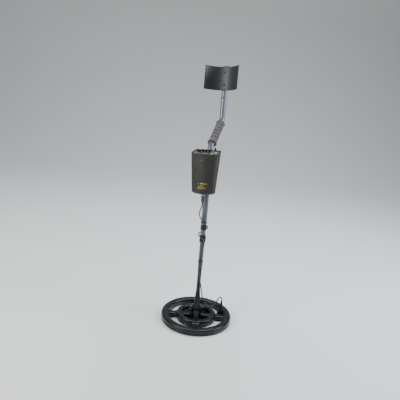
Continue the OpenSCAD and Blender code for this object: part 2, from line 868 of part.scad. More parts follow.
module power_lever() {
  color([0.05, 0.05, 0.06]) panel_frame() translate([lever_x, lever_y, 0]) rotate([-12, 0, 0]) {
    across(1, 4);
    cylinder(r = 1, h = 6);
    translate([0, 0, 5]) cylinder(r1 = 2, r2 = lever_r, h = 4);
    translate([0, 0, 9 - eps]) cylinder(r = lever_r, h = lever_len - 9);
  }
}

module battery_test_switch() {
  color([0.55, 0.56, 0.58]) panel_frame() translate([test_x, front_row_y, -panel_t - 8])
    difference() {
      translate([-6, -6, 0]) cube([12, 12, 8]);
      translate([0, 0, 3.5]) cylinder(r = test_r + 0.6, h = 6);
    }
}

module battery_test_button() {
  color([0.5, 0.08, 0.06]) panel_frame() translate([test_x, front_row_y, -panel_t - 2])
    cylinder(r = test_r, h = panel_t + 2 + 2.5);
}

module meter_body() {
  color([0.08, 0.08, 0.09]) panel_frame() translate([0, front_row_y, -panel_t - meter_h])
    {
      difference() {
        translate([-meter_w / 2, -meter_d / 2, 0]) cube([meter_w, meter_d, meter_h]);
        translate([-meter_w / 2 + 1.5, -meter_d / 2 + 1.5, 8])
          cube([meter_w - 3, meter_d - 3, meter_h]);
      }
      translate([0, -5, 7]) cylinder(r = needle_pin_r, h = meter_h - 10.9, $fn = 24);
    }
}

module meter_lens() {
  color([0.8, 0.85, 0.85, 0.4]) panel_frame() translate([0, front_row_y, 0])
    rounded_plate(meter_w, meter_d, 2, 1.2);
}

module meter_needle() {
  color([0.8, 0.1, 0.05]) panel_frame() translate([0, front_row_y - 5, -panel_t - 5.5])
    difference() {
      union() {
        cylinder(r = 1.4, h = 1.6, $fn = 24);
        rotate([0, 0, 40]) translate([-0.3, 0, 0.6]) cube([0.6, 10, 0.4]);
      }
      translate([0, 0, -cut]) cylinder(r = needle_pin_r + run_fit, h = 4, $fn = 24);
    }
}

module headphone_socket() {
  color([0.75, 0.6, 0.25]) panel_frame() translate([jack_x, front_row_y, 0]) difference() {
    union() {
      translate([0, 0, -panel_t - jack_len + 3.6]) cylinder(r = 4.4, h = jack_len + 1);
      cylinder(r = 6, h = 1.6);
    }
    translate([0, 0, 1.6 - jack_len]) cylinder(r = jack_r, h = jack_len + cut);
  }
}

module coil_socket() {
  color([0.65, 0.67, 0.7]) upper_frame() translate([0, socket_y, 0]) {
    translate([0, 0, box_from]) cylinder(r = socket_r - 1.5, h = socket_in);
    translate([0, 0, plug_from]) cylinder(r = socket_r, h = box_from + cover_t - plug_from);
  }
}

// ---------- coil cable ----------

module cable_plug() {
  color([0.22, 0.23, 0.25]) upper_frame() translate([0, socket_y, 0]) {
    translate([0, 0, plug_from - plug_len]) cylinder(r = plug_r, h = plug_len);
    translate([0, 0, plug_from - plug_len - boot_len])
      cylinder(r1 = cable_d / 2 + 0.4, r2 = plug_r - 2, h = boot_len + eps);
  }
}

// A smooth curve through the points p, with n steps between neighbours
function pick(p, i) = p[max(0, min(len(p) - 1, i))];
function curve_at(a, b, c, d, t) =
  0.5 * ((2 * b) + (c - a) * t + (2 * a - 5 * b + 4 * c - d) * t * t
    + (3 * b - a - 3 * c + d) * t * t * t);
function curve(p, n) = [
  for (i = [0 : len(p) - 2]) for (j = [0 : n - 1])
    curve_at(pick(p, i - 1), p[i], p[i + 1], pick(p, i + 2), j / n),
  p[len(p) - 1]
];
function unit(v) = v / norm(v);
function heading(p, i) = unit(pick(p, i + 1) - pick(p, i - 1));
function square_to(v, t) = unit(v - (v * t) * t);
// A side direction at each point that never twists along the curve
function side_dirs(p) = [
  for (i = 0, n = square_to([0.3, 0.9, 0.2], heading(p, 0)); i < len(p);
    i = i + 1, n = i < len(p) ? square_to(n, heading(p, i)) : n) n
];

// A point beside the stem, as a point in the part's frame
function on_stem(q) = [
  q[0],
  q[1] * cos(lean) + q[2] * sin(lean),
  pivot_h - q[1] * sin(lean) + q[2] * cos(lean)
];
function stem_points(route) = [for (q = route) on_stem(q)];
gland_tip = [cable_spot[0], cable_spot[1], gland_from + gland_h];

function rest_of(route) = [for (i = [1 : len(route) - 1]) route[i]];
cable_route = concat(
  stem_points(upper_route), stem_points(rest_of(wrap_upper_route)),
  stem_points(rest_of(wrap_lower_route)), stem_points(rest_of(lower_route)),
  coil_route, [gland_tip + [0, 0, 5], gland_tip]
);
cable_line = curve(cable_route, spline_step);
cable_sides_dirs = side_dirs(cable_line);
// Places on the cable's line where one piece ends and the next begins
wrap_starts = (len(upper_route) - 1) * spline_step;
wrap_parts = wrap_starts + (len(wrap_upper_route) - 1) * spline_step;
wrap_ends = wrap_parts + (len(wrap_lower_route) - 1) * spline_step;
cable_ends = len(cable_line) - 1;

// The cable between two places on its line, thicker all round by grow
module cable_between(first, last, grow = 0) {
  m = cable_sides;
  r = cable_d / 2 + grow;
  points = [
    for (i = [first : last]) for (k = [0 : m - 1])
      cable_line[i] + r * (cos(k * 360 / m) * cable_sides_dirs[i]
        + sin(k * 360 / m) * cross(heading(cable_line, i), cable_sides_dirs[i]))
  ];
  n = last - first;
  sides = [
    for (i = [0 : n - 1]) for (k = [0 : m - 1]) each [
      [i * m + k, (i + 1) * m + k, i * m + (k + 1) % m],
      [i * m + (k + 1) % m, (i + 1) * m + k, (i + 1) * m + (k + 1) % m]
    ]
  ];
  ends = [[for (k = [0 : m - 1]) k], [for (k = [m - 1 : -1 : 0]) n * m + k]];
  polyhedron(points = points, faces = concat(sides, ends), convexity = 6);
}

module cable_upper() {
  color([0.1, 0.1, 0.11]) cable_between(0, wrap_starts);
}

module cable_wrap_upper() {
  color([0.1, 0.1, 0.11]) cable_between(wrap_starts, wrap_parts);
}

module cable_wrap_lower() {
  color([0.1, 0.1, 0.11]) cable_between(wrap_parts, wrap_ends);
}

module cable_lower() {
  color([0.1, 0.1, 0.11]) cable_between(wrap_ends, cable_ends);
}

// A band round the tube and the cable beside it, at a distance z along the stem
module cable_tie(tube_r, z, place) {
  band = 1.2;
  difference() {
    union() {
      stem_frame() translate([0, 0, z - tie_w / 2]) cylinder(r = tube_r + band, h = tie_w);
      intersection() {
        cable_between(place - 5, place + 5, band);
        stem_frame() translate([-tube_r * 2, -tube_r * 2, z - tie_w / 2])
          cube([tube_r * 4, tube_r * 2, tie_w]);
      }
    }
    stem_frame() translate([0, 0, z - tie_w]) cylinder(r = tube_r + run_fit, h = 2 * tie_w);
    cable_between(place - 7, place + 7, 0.15);
  }
}

module cable_tie_upper() {
  color([0.05, 0.05, 0.05]) cable_tie(upper_r, wrap_upper_route[0][2] + 3.5, wrap_starts - 1);
}

module cable_tie_lower() {
  color([0.05, 0.05, 0.05]) cable_tie(lower_r, lower_route[0][2] - 3, wrap_ends + 1);
}

coil_housing();
coil_base_cover();
transmit_winding();
receive_winding();
cable_gland();
pivot_bolt();
friction_washers();
wing_nut();
lower_rod();
lower_tube();
rod_rivet();
lock_collet();
lock_nut();
middle_tube();
button_clip();
spring_button();
stem_ferrule();
upper_tube();
tube_end_plug();
foam_grip();
armrest();
armrest_saddle();
armrest_bolts();
armrest_nuts();
control_housing();
control_panel();
box_cover();
box_clamps();
clamp_screws();
panel_screws();
circuit_board();
potentiometers();
loudspeaker();
battery_holder();
batteries();
battery_test_switch();
meter_body();
meter_lens();
meter_needle();
power_switch();
power_lever();
battery_test_button();
headphone_socket();
tuning_knob();
sensitivity_knob();
discrimination_knob();
volume_knob();
coil_socket();
cable_plug();
cable_tie_upper();
cable_tie_lower();
cable_upper();
cable_wrap_upper();
cable_wrap_lower();
cable_lower();
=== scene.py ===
"""Looks of a hand-held metal detector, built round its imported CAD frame."""
import json
import math

import bpy
from mathutils import Matrix, Vector, noise


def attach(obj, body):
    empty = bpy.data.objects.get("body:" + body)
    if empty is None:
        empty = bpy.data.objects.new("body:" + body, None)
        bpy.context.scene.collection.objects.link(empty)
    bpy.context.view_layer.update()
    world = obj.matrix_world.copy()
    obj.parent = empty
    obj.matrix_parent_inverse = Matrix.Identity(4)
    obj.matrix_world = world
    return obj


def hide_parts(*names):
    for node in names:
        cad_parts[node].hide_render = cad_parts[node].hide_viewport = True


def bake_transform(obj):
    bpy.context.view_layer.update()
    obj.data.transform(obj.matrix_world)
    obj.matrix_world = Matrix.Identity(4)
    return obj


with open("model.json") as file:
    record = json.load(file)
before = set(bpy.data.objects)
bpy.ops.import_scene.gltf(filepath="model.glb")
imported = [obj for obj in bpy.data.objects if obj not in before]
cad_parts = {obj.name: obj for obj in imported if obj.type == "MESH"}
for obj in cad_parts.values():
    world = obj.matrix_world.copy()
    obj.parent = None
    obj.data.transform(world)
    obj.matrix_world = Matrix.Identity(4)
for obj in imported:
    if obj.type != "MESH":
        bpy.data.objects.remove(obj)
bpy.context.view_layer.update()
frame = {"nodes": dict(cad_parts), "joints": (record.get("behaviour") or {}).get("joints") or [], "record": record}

bl_info = {
    "name": "Metal detector looks",
    "version": (1, 0, 0),
    "blender": (4, 5, 0),
    "location": "View3D > Sidebar > Detector",
    "description": "Adds the finished pieces and finishes of a metal detector to its CAD frame",
    "category": "Object",
}

NODES = frame["nodes"]
JOINTS = {joint["name"]: joint for joint in frame["joints"]}
MM = 0.001
TAU = 2 * math.pi


# ---------- places, from the frame's joints ----------

def axes(origin, z, x):
    """The frame that stands at origin with the directions z and x."""
    z = Vector(z).normalized()
    x = Vector(x)
    x = (x - z * x.dot(z)).normalized()
    place = Matrix((x, z.cross(x), z)).transposed().to_4x4()
    place.translation = Vector(origin)
    return place


PIVOT = Vector(JOINTS["coil_tilt"]["pos_m"])
STEM_AXIS = Vector(JOINTS["stem_extend"]["axis"])
SIDE = -Vector(JOINTS["spring_button_press"]["axis"])
PANEL_UP = Vector(JOINTS["tuning_turn"]["axis"])
PANEL_X = Vector(JOINTS["power_lever_flip"]["axis"])
STEM = axes(PIVOT, STEM_AXIS, (1, 0, 0))
UPPER = axes(PIVOT, STEM_AXIS, SIDE)


# ---------- sizes that match the CAD part, in metres ----------

TUBE_R = 11.25 * MM
NUT_FROM = 268 * MM
HANDLE_ANGLE = math.radians(42)
BEND_GAP = 154 * MM
BEND_AT = 650 * MM
CUP_R = 78 * MM
CUP_T = 3 * MM
CUP_LEN = 96 * MM
CUP_TO = 981 * MM
CUP_HALF_ANGLE = math.radians(61)
SADDLE_GAP = 3 * MM
CUP_Y = BEND_GAP * math.sin(HANDLE_ANGLE) - TUBE_R - SADDLE_GAP - CUP_R - CUP_T
PANEL_TILT = math.radians(18.5)
CABLE_D = 4.6 * MM
GLAND_SPOT = Vector((101.41, 46.76, 22)) * MM
GLAND_H = 40 * MM

# The control box in millimetres: heights start at its foot
BOX_FROM = 461
BOX_BACK = -15.25
BOX_FOOT_W = 88
BOX_FOOT_D = 52
BOX_GROWTH_W = 18 / 150
BOX_GROWTH_D = 14 / 150
BOX_CORNER = 17
BOX_BACK_CORNER = 9
BOX_BOW = 7
FOOT_ROUND_X = 22
FOOT_ROUND_Y = 9
COVER_T = 2.2
PANEL_AT = (-48.25, 161.04)
PANEL_RIM = 3

# Route of the coil cable, in millimetres: beside the stem as (x, y, distance from the pivot)
UPPER_ROUTE = [
    (-13.5, -33.4, 423), (-14.5, -33, 412), (-18.5, -30.5, 399), (-21, -27, 386),
    (-18.5, -22.5, 373), (-12, -19.5, 361), (-5, -15.5, 350), (0, -14.6, 344),
]
WRAP_UPPER_ROUTE = [
    (0, -14.6, 344), (8, -14, 339), (14.5, -8, 333), (16.5, 1, 327), (13, 10.5, 321),
    (4, 16.5, 315), (-6.5, 15.8, 309), (-14.5, 9, 303), (-17, 0, 298),
]
WRAP_LOWER_ROUTE = [
    (-17, 0, 298), (-14.8, -9, 293), (-7.5, -16, 287), (2, -17.5, 280), (7.5, -16.4, 270),
    (7, -15.2, 256), (3, -14, 240), (-2, -13.4, 222), (-4.6, -12.2, 207), (-5, -11.3, 195),
]
LOWER_ROUTE = [
    (-5, -11.3, 195), (-4.8, -11.6, 178), (-3, -12, 156), (0.5, -12.5, 134), (4.5, -14, 114),
    (9, -16.5, 94), (13.5, -19, 74),
]
# The last stretch, in the coil's own frame
COIL_ROUTE = [
    (20, -9, 98), (27, -2, 80), (36, 6, 62), (47, 14, 49), (59, 22, 44.5), (71, 30, 50),
]
# The round on which it arches over into its boot
ARCH_R = 9 * MM
ARCH_RISE = 8 * MM

# ---------- finishes ----------

class Wire:
    """An output of a finish's node tree; maths on it adds Math nodes."""

    def __init__(self, finish, socket):
        self.finish = finish
        self.socket = socket

    def _maths(self, operation, first, second):
        return self.finish.node("ShaderNodeMath", {"operation": operation}, {0: first, 1: second})

    def __add__(self, other):
        return self._maths("ADD", self, other)

    def __radd__(self, other):
        return self._maths("ADD", other, self)

    def __sub__(self, other):
        return self._maths("SUBTRACT", self, other)

    def __rsub__(self, other):
        return self._maths("SUBTRACT", other, self)

    def __mul__(self, other):
        return self._maths("MULTIPLY", self, other)

    def __rmul__(self, other):
        return self._maths("MULTIPLY", other, self)

    def __pow__(self, other):
        return self._maths("POWER", self, other)

    def __gt__(self, other):
        return self._maths("GREATER_THAN", self, other)


class Finish:
    """A material with one Principled shader and the nodes that vary it over a surface."""

    def __init__(self, name, **sockets):
        self.material = bpy.data.materials.new(name)
        self.material.use_nodes = True
        self.tree = self.material.node_tree
        self.shader = self.tree.nodes["Principled BSDF"]
        self.here = self.node("ShaderNodeTexCoord", output="Object")
        for socket, value in sockets.items():
            self.feed(self.shader, socket.replace("_", " "), value)

    def feed(self, node, socket, value):
        """A link or a plain value for one of a node's sockets."""
        target = node.inputs[socket]
        if isinstance(value, Wire):
            self.tree.links.new(value.socket, target)
        elif hasattr(value, "__len__") and len(value) == 3 and target.type == "RGBA":
            target.default_value = (*value, 1)
        else:
            target.default_value = value

    def node(self, kind, settings=None, inputs=None, output=0):
        """A new node: its settings first, then its sockets; gives one output."""
        node = self.tree.nodes.new(kind)
        for setting, value in (settings or {}).items():
            if setting == "stops":
                for spare in range(len(value) - 2):
                    node.color_ramp.elements.new(0.5)
                for element, (place, shade) in zip(node.color_ramp.elements, value):
                    element.position = place
                    element.color = (shade, shade, shade, 1)
            else:
                setattr(node, setting, value)
        for socket, value in (inputs or {}).items():
            self.feed(node, socket, value)
        return Wire(self, node.outputs[output])

    def noise(self, size, detail=3.0, rough=0.55, at=None):
        """Soft noise, 0 to 1, with features of the given size in metres."""
        return self.node("ShaderNodeTexNoise", None, {
            "Vector": at or self.here, "Scale": 1 / size, "Detail": detail, "Roughness": rough})

    def cells(self, size, feature="F1", at=None):
        """Distance inside rounded cells of the given size in metres."""
        return self.node("ShaderNodeTexVoronoi", {"feature": feature}, {
            "Vector": at or self.here, "Scale": 1 / size}, "Distance")

    def steps(self, value, *stops):
        """A value passed through a ramp of (place, shade) stops."""
        return self.node("ShaderNodeValToRGB", {"stops": stops}, {0: value})

    def stretched(self, scale):
        """Object coordinates stretched by a factor along each axis."""
        return self.node("ShaderNodeMapping", None, {"Vector": self.here, "Scale": scale})

    def blend(self, mask, low, high):
        """Two colours mixed by a mask."""
        node = self.tree.nodes.new("ShaderNodeMix")
        node.data_type = "RGBA"
        self.feed(node, 0, mask)
        self.feed(node, 6, low)
        self.feed(node, 7, high)
        return Wire(self, node.outputs[2])

    def colour(self, value):
        self.feed(self.shader, "Base Color", value)

    def rough(self, value):
        self.feed(self.shader, "Roughness", value)

    def relief(self, height, depth, strength=1.0):
        """A bump of the given depth in metres."""
        bump = self.node("ShaderNodeBump", None, {
            "Height": height, "Distance": depth, "Strength": strength})
        self.feed(self.shader, "Normal", bump)


def shade(colour, factor):
    """A colour made lighter or darker."""
    return tuple(min(1.0, channel * factor) for channel in colour)


def moulded(name, colour, rough=0.42, grain=0.6 * MM, depth=0.03 * MM, wear=0.12, **sockets):
    """Moulded plastic or rubber: fine grain, faint flow marks, and rubbed patches."""
    finish = Finish(name, **sockets)
    flow = finish.noise(30 * MM, 4)
    fine = finish.noise(grain, 2)
    rub = finish.steps(finish.noise(9 * MM, 6, 0.7), (0.52, 0), (0.74, 1))
    finish.colour(finish.blend(rub * wear + flow * 0.3, shade(colour, 0.85), shade(colour, 1.9)))
    finish.rough(flow * 0.12 + rub * 0.14 + (rough - 0.08))
    finish.relief(fine + finish.noise(4 * MM) * 0.6, depth)
    return finish.material


def metal(name, colour, rough=0.3, stretch=(1, 1, 0.05), **sockets):
    """Plated or polished metal with drawn lines and a few dull spots."""
    finish = Finish(name, Metallic=1.0, **sockets)
    lines = finish.noise(0.5 * MM, 2, at=finish.stretched(stretch))
    dull = finish.steps(finish.noise(6 * MM, 5, 0.65), (0.5, 0), (0.75, 1))
    finish.colour(finish.blend(dull * 0.5, colour, shade(colour, 0.6)))
    finish.rough(lines * 0.15 + dull * 0.2 + (rough - 0.07))
    finish.relief(lines, 0.01 * MM)
    return finish.material


def coated_tube(name, colour):
    """Metallic powder coat on tube: sparkle, orange peel and thin scratches."""
    finish = Finish(name, Metallic=0.35, Coat_Weight=0.15, Coat_Roughness=0.25)
    sparkle = finish.steps(finish.cells(0.5 * MM), (0.05, 1), (0.3, 0))
    cloud = finish.noise(45 * MM, 4)
    scratch = finish.steps(
        finish.noise(1.6 * MM, 5, 0.8, finish.stretched((1, 1, 0.03))), (0.66, 0), (0.72, 1))
    tone = finish.blend(cloud, shade(colour, 0.86), shade(colour, 1.12))
    finish.colour(finish.blend(sparkle * 0.2 + scratch * 0.45, tone, shade(colour, 1.7)))
    finish.rough(cloud * 0.1 + 0.27 + scratch * 0.18)
    finish.relief(finish.noise(1.1 * MM, 2) * 0.7 - scratch * 0.5, 0.05 * MM)
    return finish.material


def cellular_foam(name, colour):
    """Closed-cell foam: small open pits darkened with painted shade, a soft mottle and no shine."""
    finish = Finish(name, Sheen_Weight=0.25, Sheen_Roughness=0.6)
    pore_pits_and_shade = finish.steps(finish.cells(0.75 * MM), (0.12, 0), (0.5, 1))
    mottle = finish.noise(7 * MM, 5, 0.7)
    worn = finish.steps(finish.noise(22 * MM, 3), (0.45, 0), (0.7, 1))
    base = finish.blend(mottle, shade(colour, 0.75), shade(colour, 1.3))
    # the pits are painted darker here, as shade in the recesses
    finish.colour(finish.blend(pore_pits_and_shade, shade(colour, 0.4), base))
    finish.rough(0.9 - worn * 0.2)
    finish.relief(pore_pits_and_shade + mottle * 0.8, 0.22 * MM)
    return finish.material


def leatherette(name, colour):
    """Embossed leatherette: a pebble grain of two sizes with painted shade in the grooves between, creases, and a
    dull shine where it is rubbed.
    """
    finish = Finish(name, Coat_Weight=0.06, Coat_Roughness=0.35)
    pebbles_and_groove_shade = finish.cells(1.5 * MM, "SMOOTH_F1")
    small = finish.cells(0.7 * MM, "SMOOTH_F1")
    crease = finish.steps(
        finish.noise(11 * MM, 5, 0.75), (0.44, 0), (0.495, 1), (0.55, 0))
    rub = finish.steps(finish.noise(26 * MM, 3), (0.35, 0), (0.75, 1))
    base = finish.blend(rub, shade(colour, 0.8), shade(colour, 1.5))
    # the grooves between the pebbles are painted darker here, as shade
    finish.colour(finish.blend(pebbles_and_groove_shade, base, shade(colour, 0.35)))
    finish.rough(0.5 - rub * 0.12 + pebbles_and_groove_shade * 0.25)
    finish.relief(1 - pebbles_and_groove_shade - small * 0.4 - crease * 0.45, 0.3 * MM)
    return finish.material


def foil(name, colour):
    """Hot-stamped foil, rubbed through in specks."""
    finish = Finish(name, Metallic=0.85)
    gone = finish.steps(finish.noise(1.2 * MM, 4, 0.7), (0.6, 0), (0.66, 1))
    finish.colour(finish.blend(gone, colour, shade(colour, 0.18)))
    finish.rough(gone * 0.3 + 0.3)
    finish.relief(finish.noise(1.5 * MM), 0.08 * MM)
    return finish.material


def window(name, colour):
    """Clear acrylic with hair scratches."""
    finish = Finish(name)
    hair = finish.steps(
        finish.noise(0.8 * MM, 4, 0.8, finish.stretched((1, 0.1, 1))), (0.6, 0), (0.68, 1))
    finish.colour(finish.blend(hair, colour, shade(colour, 0.8)))
    finish.rough(hair * 0.2 + 0.05)
    finish.feed(finish.shader, "Alpha", hair * 0.15 + 0.14)
    return finish.material


def winding(name, colour):
    """Enamelled wire wound in layers, with painted shade in the grooves between the wires."""
    finish = Finish(name, Metallic=0.8)
    wire_turns_and_groove_shade = finish.node("ShaderNodeTexWave", {"bands_direction": "Z"}, {
        "Vector": finish.here, "Scale": 500, "Distortion": 1.5})
    # the troughs of the wave are painted darker here, as shade in the grooves between the wires
    finish.colour(finish.blend(wire_turns_and_groove_shade, shade(colour, 0.5), colour))
    finish.rough(wire_turns_and_groove_shade * 0.2 + 0.3)
    finish.relief(wire_turns_and_groove_shade, 0.15 * MM)
    return finish.material


def board_mask(name, colour):
    """Lacquered circuit board with darker tracks."""
    finish = Finish(name)
    tracks = finish.steps(
        finish.noise(3 * MM, 1, at=finish.stretched((1, 1, 0.3))), (0.49, 0), (0.51, 1))
    finish.colour(finish.blend(tracks, colour, shade(colour, 0.6)))
    finish.rough(tracks * 0.1 + 0.3)
    finish.relief(tracks, 0.04 * MM)
    return finish.material


def studio_paper(name, colour):
    """Matt floor paper with the faintest mottle."""
    finish = Finish(name)
    finish.colour(finish.blend(finish.noise(0.4, 2), colour, shade(colour, 0.97)))
    finish.rough(finish.noise(0.05) * 0.06 + 0.8)
    return finish.material


# The record's slots and how each is finished: maker, colour, what else it takes
BLACK = (0.012, 0.0125, 0.0145)
SLOT_FINISHES = {
    "coil_plastic": (moulded, (0.0065, 0.007, 0.009), dict(
        rough=0.27, grain=0.8 * MM, depth=0.05 * MM, wear=0.15, Specular_IOR_Level=0.35)),
    "coil_cover_plastic": (moulded, (0.011, 0.0115, 0.013), dict(rough=0.5, wear=0.3)),
    "copper": (winding, (0.62, 0.26, 0.1), {}),
    "soft_rubber": (moulded, (0.01, 0.01, 0.0105), dict(rough=0.68, grain=0.4 * MM)),
    "black_plastic": (moulded, BLACK, dict(rough=0.42)),
    "rod_plastic": (moulded, (0.008, 0.0085, 0.0105), dict(rough=0.38, grain=0.5 * MM, wear=0.25)),
    "grey_tube": (coated_tube, "lower", {}),
    "blue_grey_tube": (coated_tube, "upper", {}),
    "steel": (metal, (0.56, 0.57, 0.58), dict(rough=0.32)),
    "speaker_steel": (metal, (0.2, 0.2, 0.21), dict(rough=0.4)),
    "dark_steel": (metal, (0.04, 0.042, 0.046), dict(rough=0.42)),
    "bright_steel": (metal, (0.75, 0.76, 0.78), dict(rough=0.16)),
    "foam": (cellular_foam, "foam", {}),
    "armrest_plastic": (moulded, "armrest", dict(
        rough=0.5, grain=1.3 * MM, depth=0.05 * MM, wear=0.1)),
    "panel_plastic": (moulded, "panel", dict(
        rough=0.5, grain=0.35 * MM, depth=0.03 * MM, wear=0.08)),
    "leatherette": (leatherette, "cover", {}),
    "board": (board_mask, (0.02, 0.16, 0.05), {}),
    "battery_case": (coated_tube, (0.06, 0.075, 0.11), {}),
    "clear_lens": (window, (0.93, 0.95, 0.96), {}),
    "red_paint": (moulded, (0.5, 0.02, 0.012), dict(rough=0.35)),
    "red_button": (moulded, (0.32, 0.018, 0.014), dict(rough=0.3)),
    "gilt_brass": (metal, (0.72, 0.5, 0.2), dict(rough=0.24)),
    "knob_plastic": (moulded, (0.011, 0.011, 0.0125), dict(rough=0.3, grain=0.4 * MM)),
    "plug_plastic": (moulded, (0.05, 0.053, 0.06), dict(rough=0.45)),
    "cable_jacket": (moulded, "cable", dict(rough=0.44, grain=0.3 * MM, depth=0.02 * MM)),
    "gold_foil": (foil, "marks", {}),
    "white_print": (moulded, (0.62, 0.62, 0.58), dict(rough=0.5)),
    "thread": (cellular_foam, (0.035, 0.034, 0.033), {}),
    "cap_metal": (metal, (0.5, 0.51, 0.54), dict(rough=0.25)),
    "meter_card": (moulded, (0.42, 0.42, 0.37), dict(rough=0.6, wear=0.05)),
}
made_finishes = {}


def finish_of(slot):
    """The material of a slot, made the first time that it is asked for."""
    if slot not in made_finishes:
        maker, colour, settings = SLOT_FINISHES[slot]
        if isinstance(colour, str):
            colour = tuple(getattr(bpy.context.scene.detector_colours, colour))
        made_finishes[slot] = maker(slot, colour, **settings)
    return made_finishes[slot]


def record_slot(node):
    """The material slot that the record gives a CAD node."""
    return next(part["material_slot"] for part in frame["record"]["subparts"]
                if part["node"] == node)


# ---------- mesh work ----------

MERGE = 0.002 * MM


def deselect():
    """Object mode, with nothing selected."""
    if bpy.context.object and bpy.context.object.mode != "OBJECT":
        bpy.ops.object.mode_set(mode="OBJECT")
    bpy.ops.object.select_all(action="DESELECT")


def activate(obj):
    deselect()
    obj.select_set(True)
    bpy.context.view_layer.objects.active = obj


def cleaned(obj, caps=False):
    """Doubles merged, open ends filled where asked, and faces turned outwards."""
    activate(obj)
    bpy.ops.object.mode_set(mode="EDIT")
    bpy.ops.mesh.select_all(action="SELECT")
    bpy.ops.mesh.remove_doubles(threshold=MERGE)
    if caps:
        bpy.ops.mesh.fill_holes(sides=0)
    bpy.ops.mesh.select_all(action="SELECT")
    bpy.ops.mesh.normals_make_consistent(inside=False)
    bpy.ops.object.mode_set(mode="OBJECT")
    return obj


def skin(rows, columns, spot, caps=True):
    """A closed skin: a grid whose point (row, column) goes to spot, joined along its seam."""
    deselect()
    bpy.ops.mesh.primitive_grid_add(x_subdivisions=columns, y_subdivisions=rows, size=1)
    obj = bpy.context.object
    for vertex in obj.data.vertices:
        column = round((vertex.co.x + 0.5) * columns)
        row = round((vertex.co.y + 0.5) * rows)
        vertex.co = spot(row, column % columns)
    return cleaned(obj, caps)


def spun(outline, steps=64):
    """An outline of (radius, height) points spun round the z axis."""
    deselect()
    bpy.ops.mesh.primitive_circle_add(vertices=len(outline), fill_type="NOTHING")
    obj = bpy.context.object
    for vertex, (radius, height) in zip(obj.data.vertices, outline):
        vertex.co = (max(radius, 0), 0, height)
    for vertex in obj.data.vertices:
        vertex.select = False
    for edge in obj.data.edges:
        edge.select = all(obj.data.vertices[i].co.x < MERGE for i in edge.vertices)
    if any(edge.select for edge in obj.data.edges):
        bpy.ops.object.mode_set(mode="EDIT")
        bpy.ops.mesh.select_mode(type="EDGE")
        bpy.ops.mesh.delete(type="EDGE")
        bpy.ops.mesh.select_mode(type="VERT")
        bpy.ops.object.mode_set(mode="OBJECT")
    bpy.ops.object.mode_set(mode="EDIT")
    bpy.ops.mesh.select_all(action="SELECT")
    bpy.ops.mesh.spin(steps=steps, angle=TAU, center=(0, 0, 0), axis=(0, 0, 1))
    bpy.ops.object.mode_set(mode="OBJECT")
    return cleaned(obj)


def softened(corners, steps=4):
    """The points of an outline of (a, b, radius) corners, each rounded to its radius."""
    points = []
    for i, (a, b, radius) in enumerate(corners):
        here = Vector((a, b))
        before = Vector(corners[i - 1][:2]) - here
        after = Vector(corners[(i + 1) % len(corners)][:2]) - here
        if radius <= 0 or before.length < MERGE or after.length < MERGE:
            points.append(here)
            continue
        reach = radius / math.tan(before.angle(after) / 2)
        reach = min(reach, before.length * 0.49, after.length * 0.49)
        start = here + before.normalized() * reach
        end = here + after.normalized() * reach
        for k in range(steps + 1):
            t = k / steps
            points.append(start.lerp(here, t).lerp(here.lerp(end, t), t))
    return points


def scaled(corners):
    """An outline written in millimetres, in metres."""
    return [tuple(value * MM for value in corner) for corner in corners]


def turned(corners, steps=64, curve=4):
    """A spun shape from (radius, height, rounding) corners in millimetres."""
    return spun(softened(scaled(corners), curve), steps)


def block(low, high, edge, segments=3):
    """A bevelled box between two corners."""
    deselect()
    bpy.ops.mesh.primitive_cube_add(size=1)
    obj = bpy.context.object
    low, high = Vector(low), Vector(high)
    for vertex in obj.data.vertices:
        vertex.co = [low[i] + (vertex.co[i] + 0.5) * (high[i] - low[i]) for i in range(3)]
    bpy.ops.object.mode_set(mode="EDIT")
    bpy.ops.mesh.select_all(action="SELECT")
    bpy.ops.mesh.bevel(offset=edge, segments=segments, affect="EDGES")
    bpy.ops.object.mode_set(mode="OBJECT")
    return obj


def bevelled(low, high, edge, segments=3):
    """A bevelled box between two corners in millimetres."""
    return block(Vector(low) * MM, Vector(high) * MM, edge * MM, segments)


def slab(outline, low, high, edge, rounds=3):
    """A flat outline raised from low to high along z, with its rims rounded."""
    count = len(outline)
    outline = [Vector(point) for point in outline]
    inward = []
    for i in range(count):
        run = (outline[(i + 1) % count] - outline[i - 1]).normalized()
        inward.append(Vector((-run.y, run.x)))
    layers = []
    for k in range(rounds + 1):
        angle = math.pi / 2 * k / rounds
        layers.append((edge * (1 - math.sin(angle)), low + edge * (1 - math.cos(angle))))
    layers += [(inset, high + low - height) for inset, height in reversed(layers)]

    def spot(row, column):
        inset, height = layers[row]
        point = outline[column] + inward[column] * inset
        return (point.x, point.y, height)
    return skin(len(layers) - 1, count, spot)


def joined(objs):
    """Several pieces made into one."""
    deselect()
    for obj in objs:
        obj.select_set(True)
    bpy.context.view_layer.objects.active = objs[0]
    bpy.ops.object.join()
    return bpy.context.object


def placed(obj, place):
    """A piece moved by its mesh, so that its object stays at the origin."""
    obj.data.transform(place)
    return obj


def copied(obj, place):
    twin = obj.copy()
    twin.data = obj.data.copy()
    bpy.context.collection.objects.link(twin)
    return placed(twin, place)


def smooth_copy(*names, edge=0.0):
    """A merged copy of the first named CAD node's mesh, with its sharp edges eased when an edge width is given."""
    obj = bpy.data.objects.new("copy", NODES[names[0]].data.copy())
    bpy.context.collection.objects.link(obj)
    cleaned(obj)
    if edge:
        bpy.ops.object.mode_set(mode="EDIT")
        bpy.ops.mesh.select_all(action="SELECT")
        bpy.ops.mesh.dissolve_limited(angle_limit=math.radians(0.5))
        bpy.ops.object.mode_set(mode="OBJECT")
        bevel = obj.modifiers.new("edges", "BEVEL")
        bevel.width = edge
        bevel.segments = 2
        bevel.limit_method = "ANGLE"
        bevel.angle_limit = math.radians(40)
        bevel.harden_normals = False
        bpy.ops.object.modifier_apply(modifier=bevel.name)
    return obj


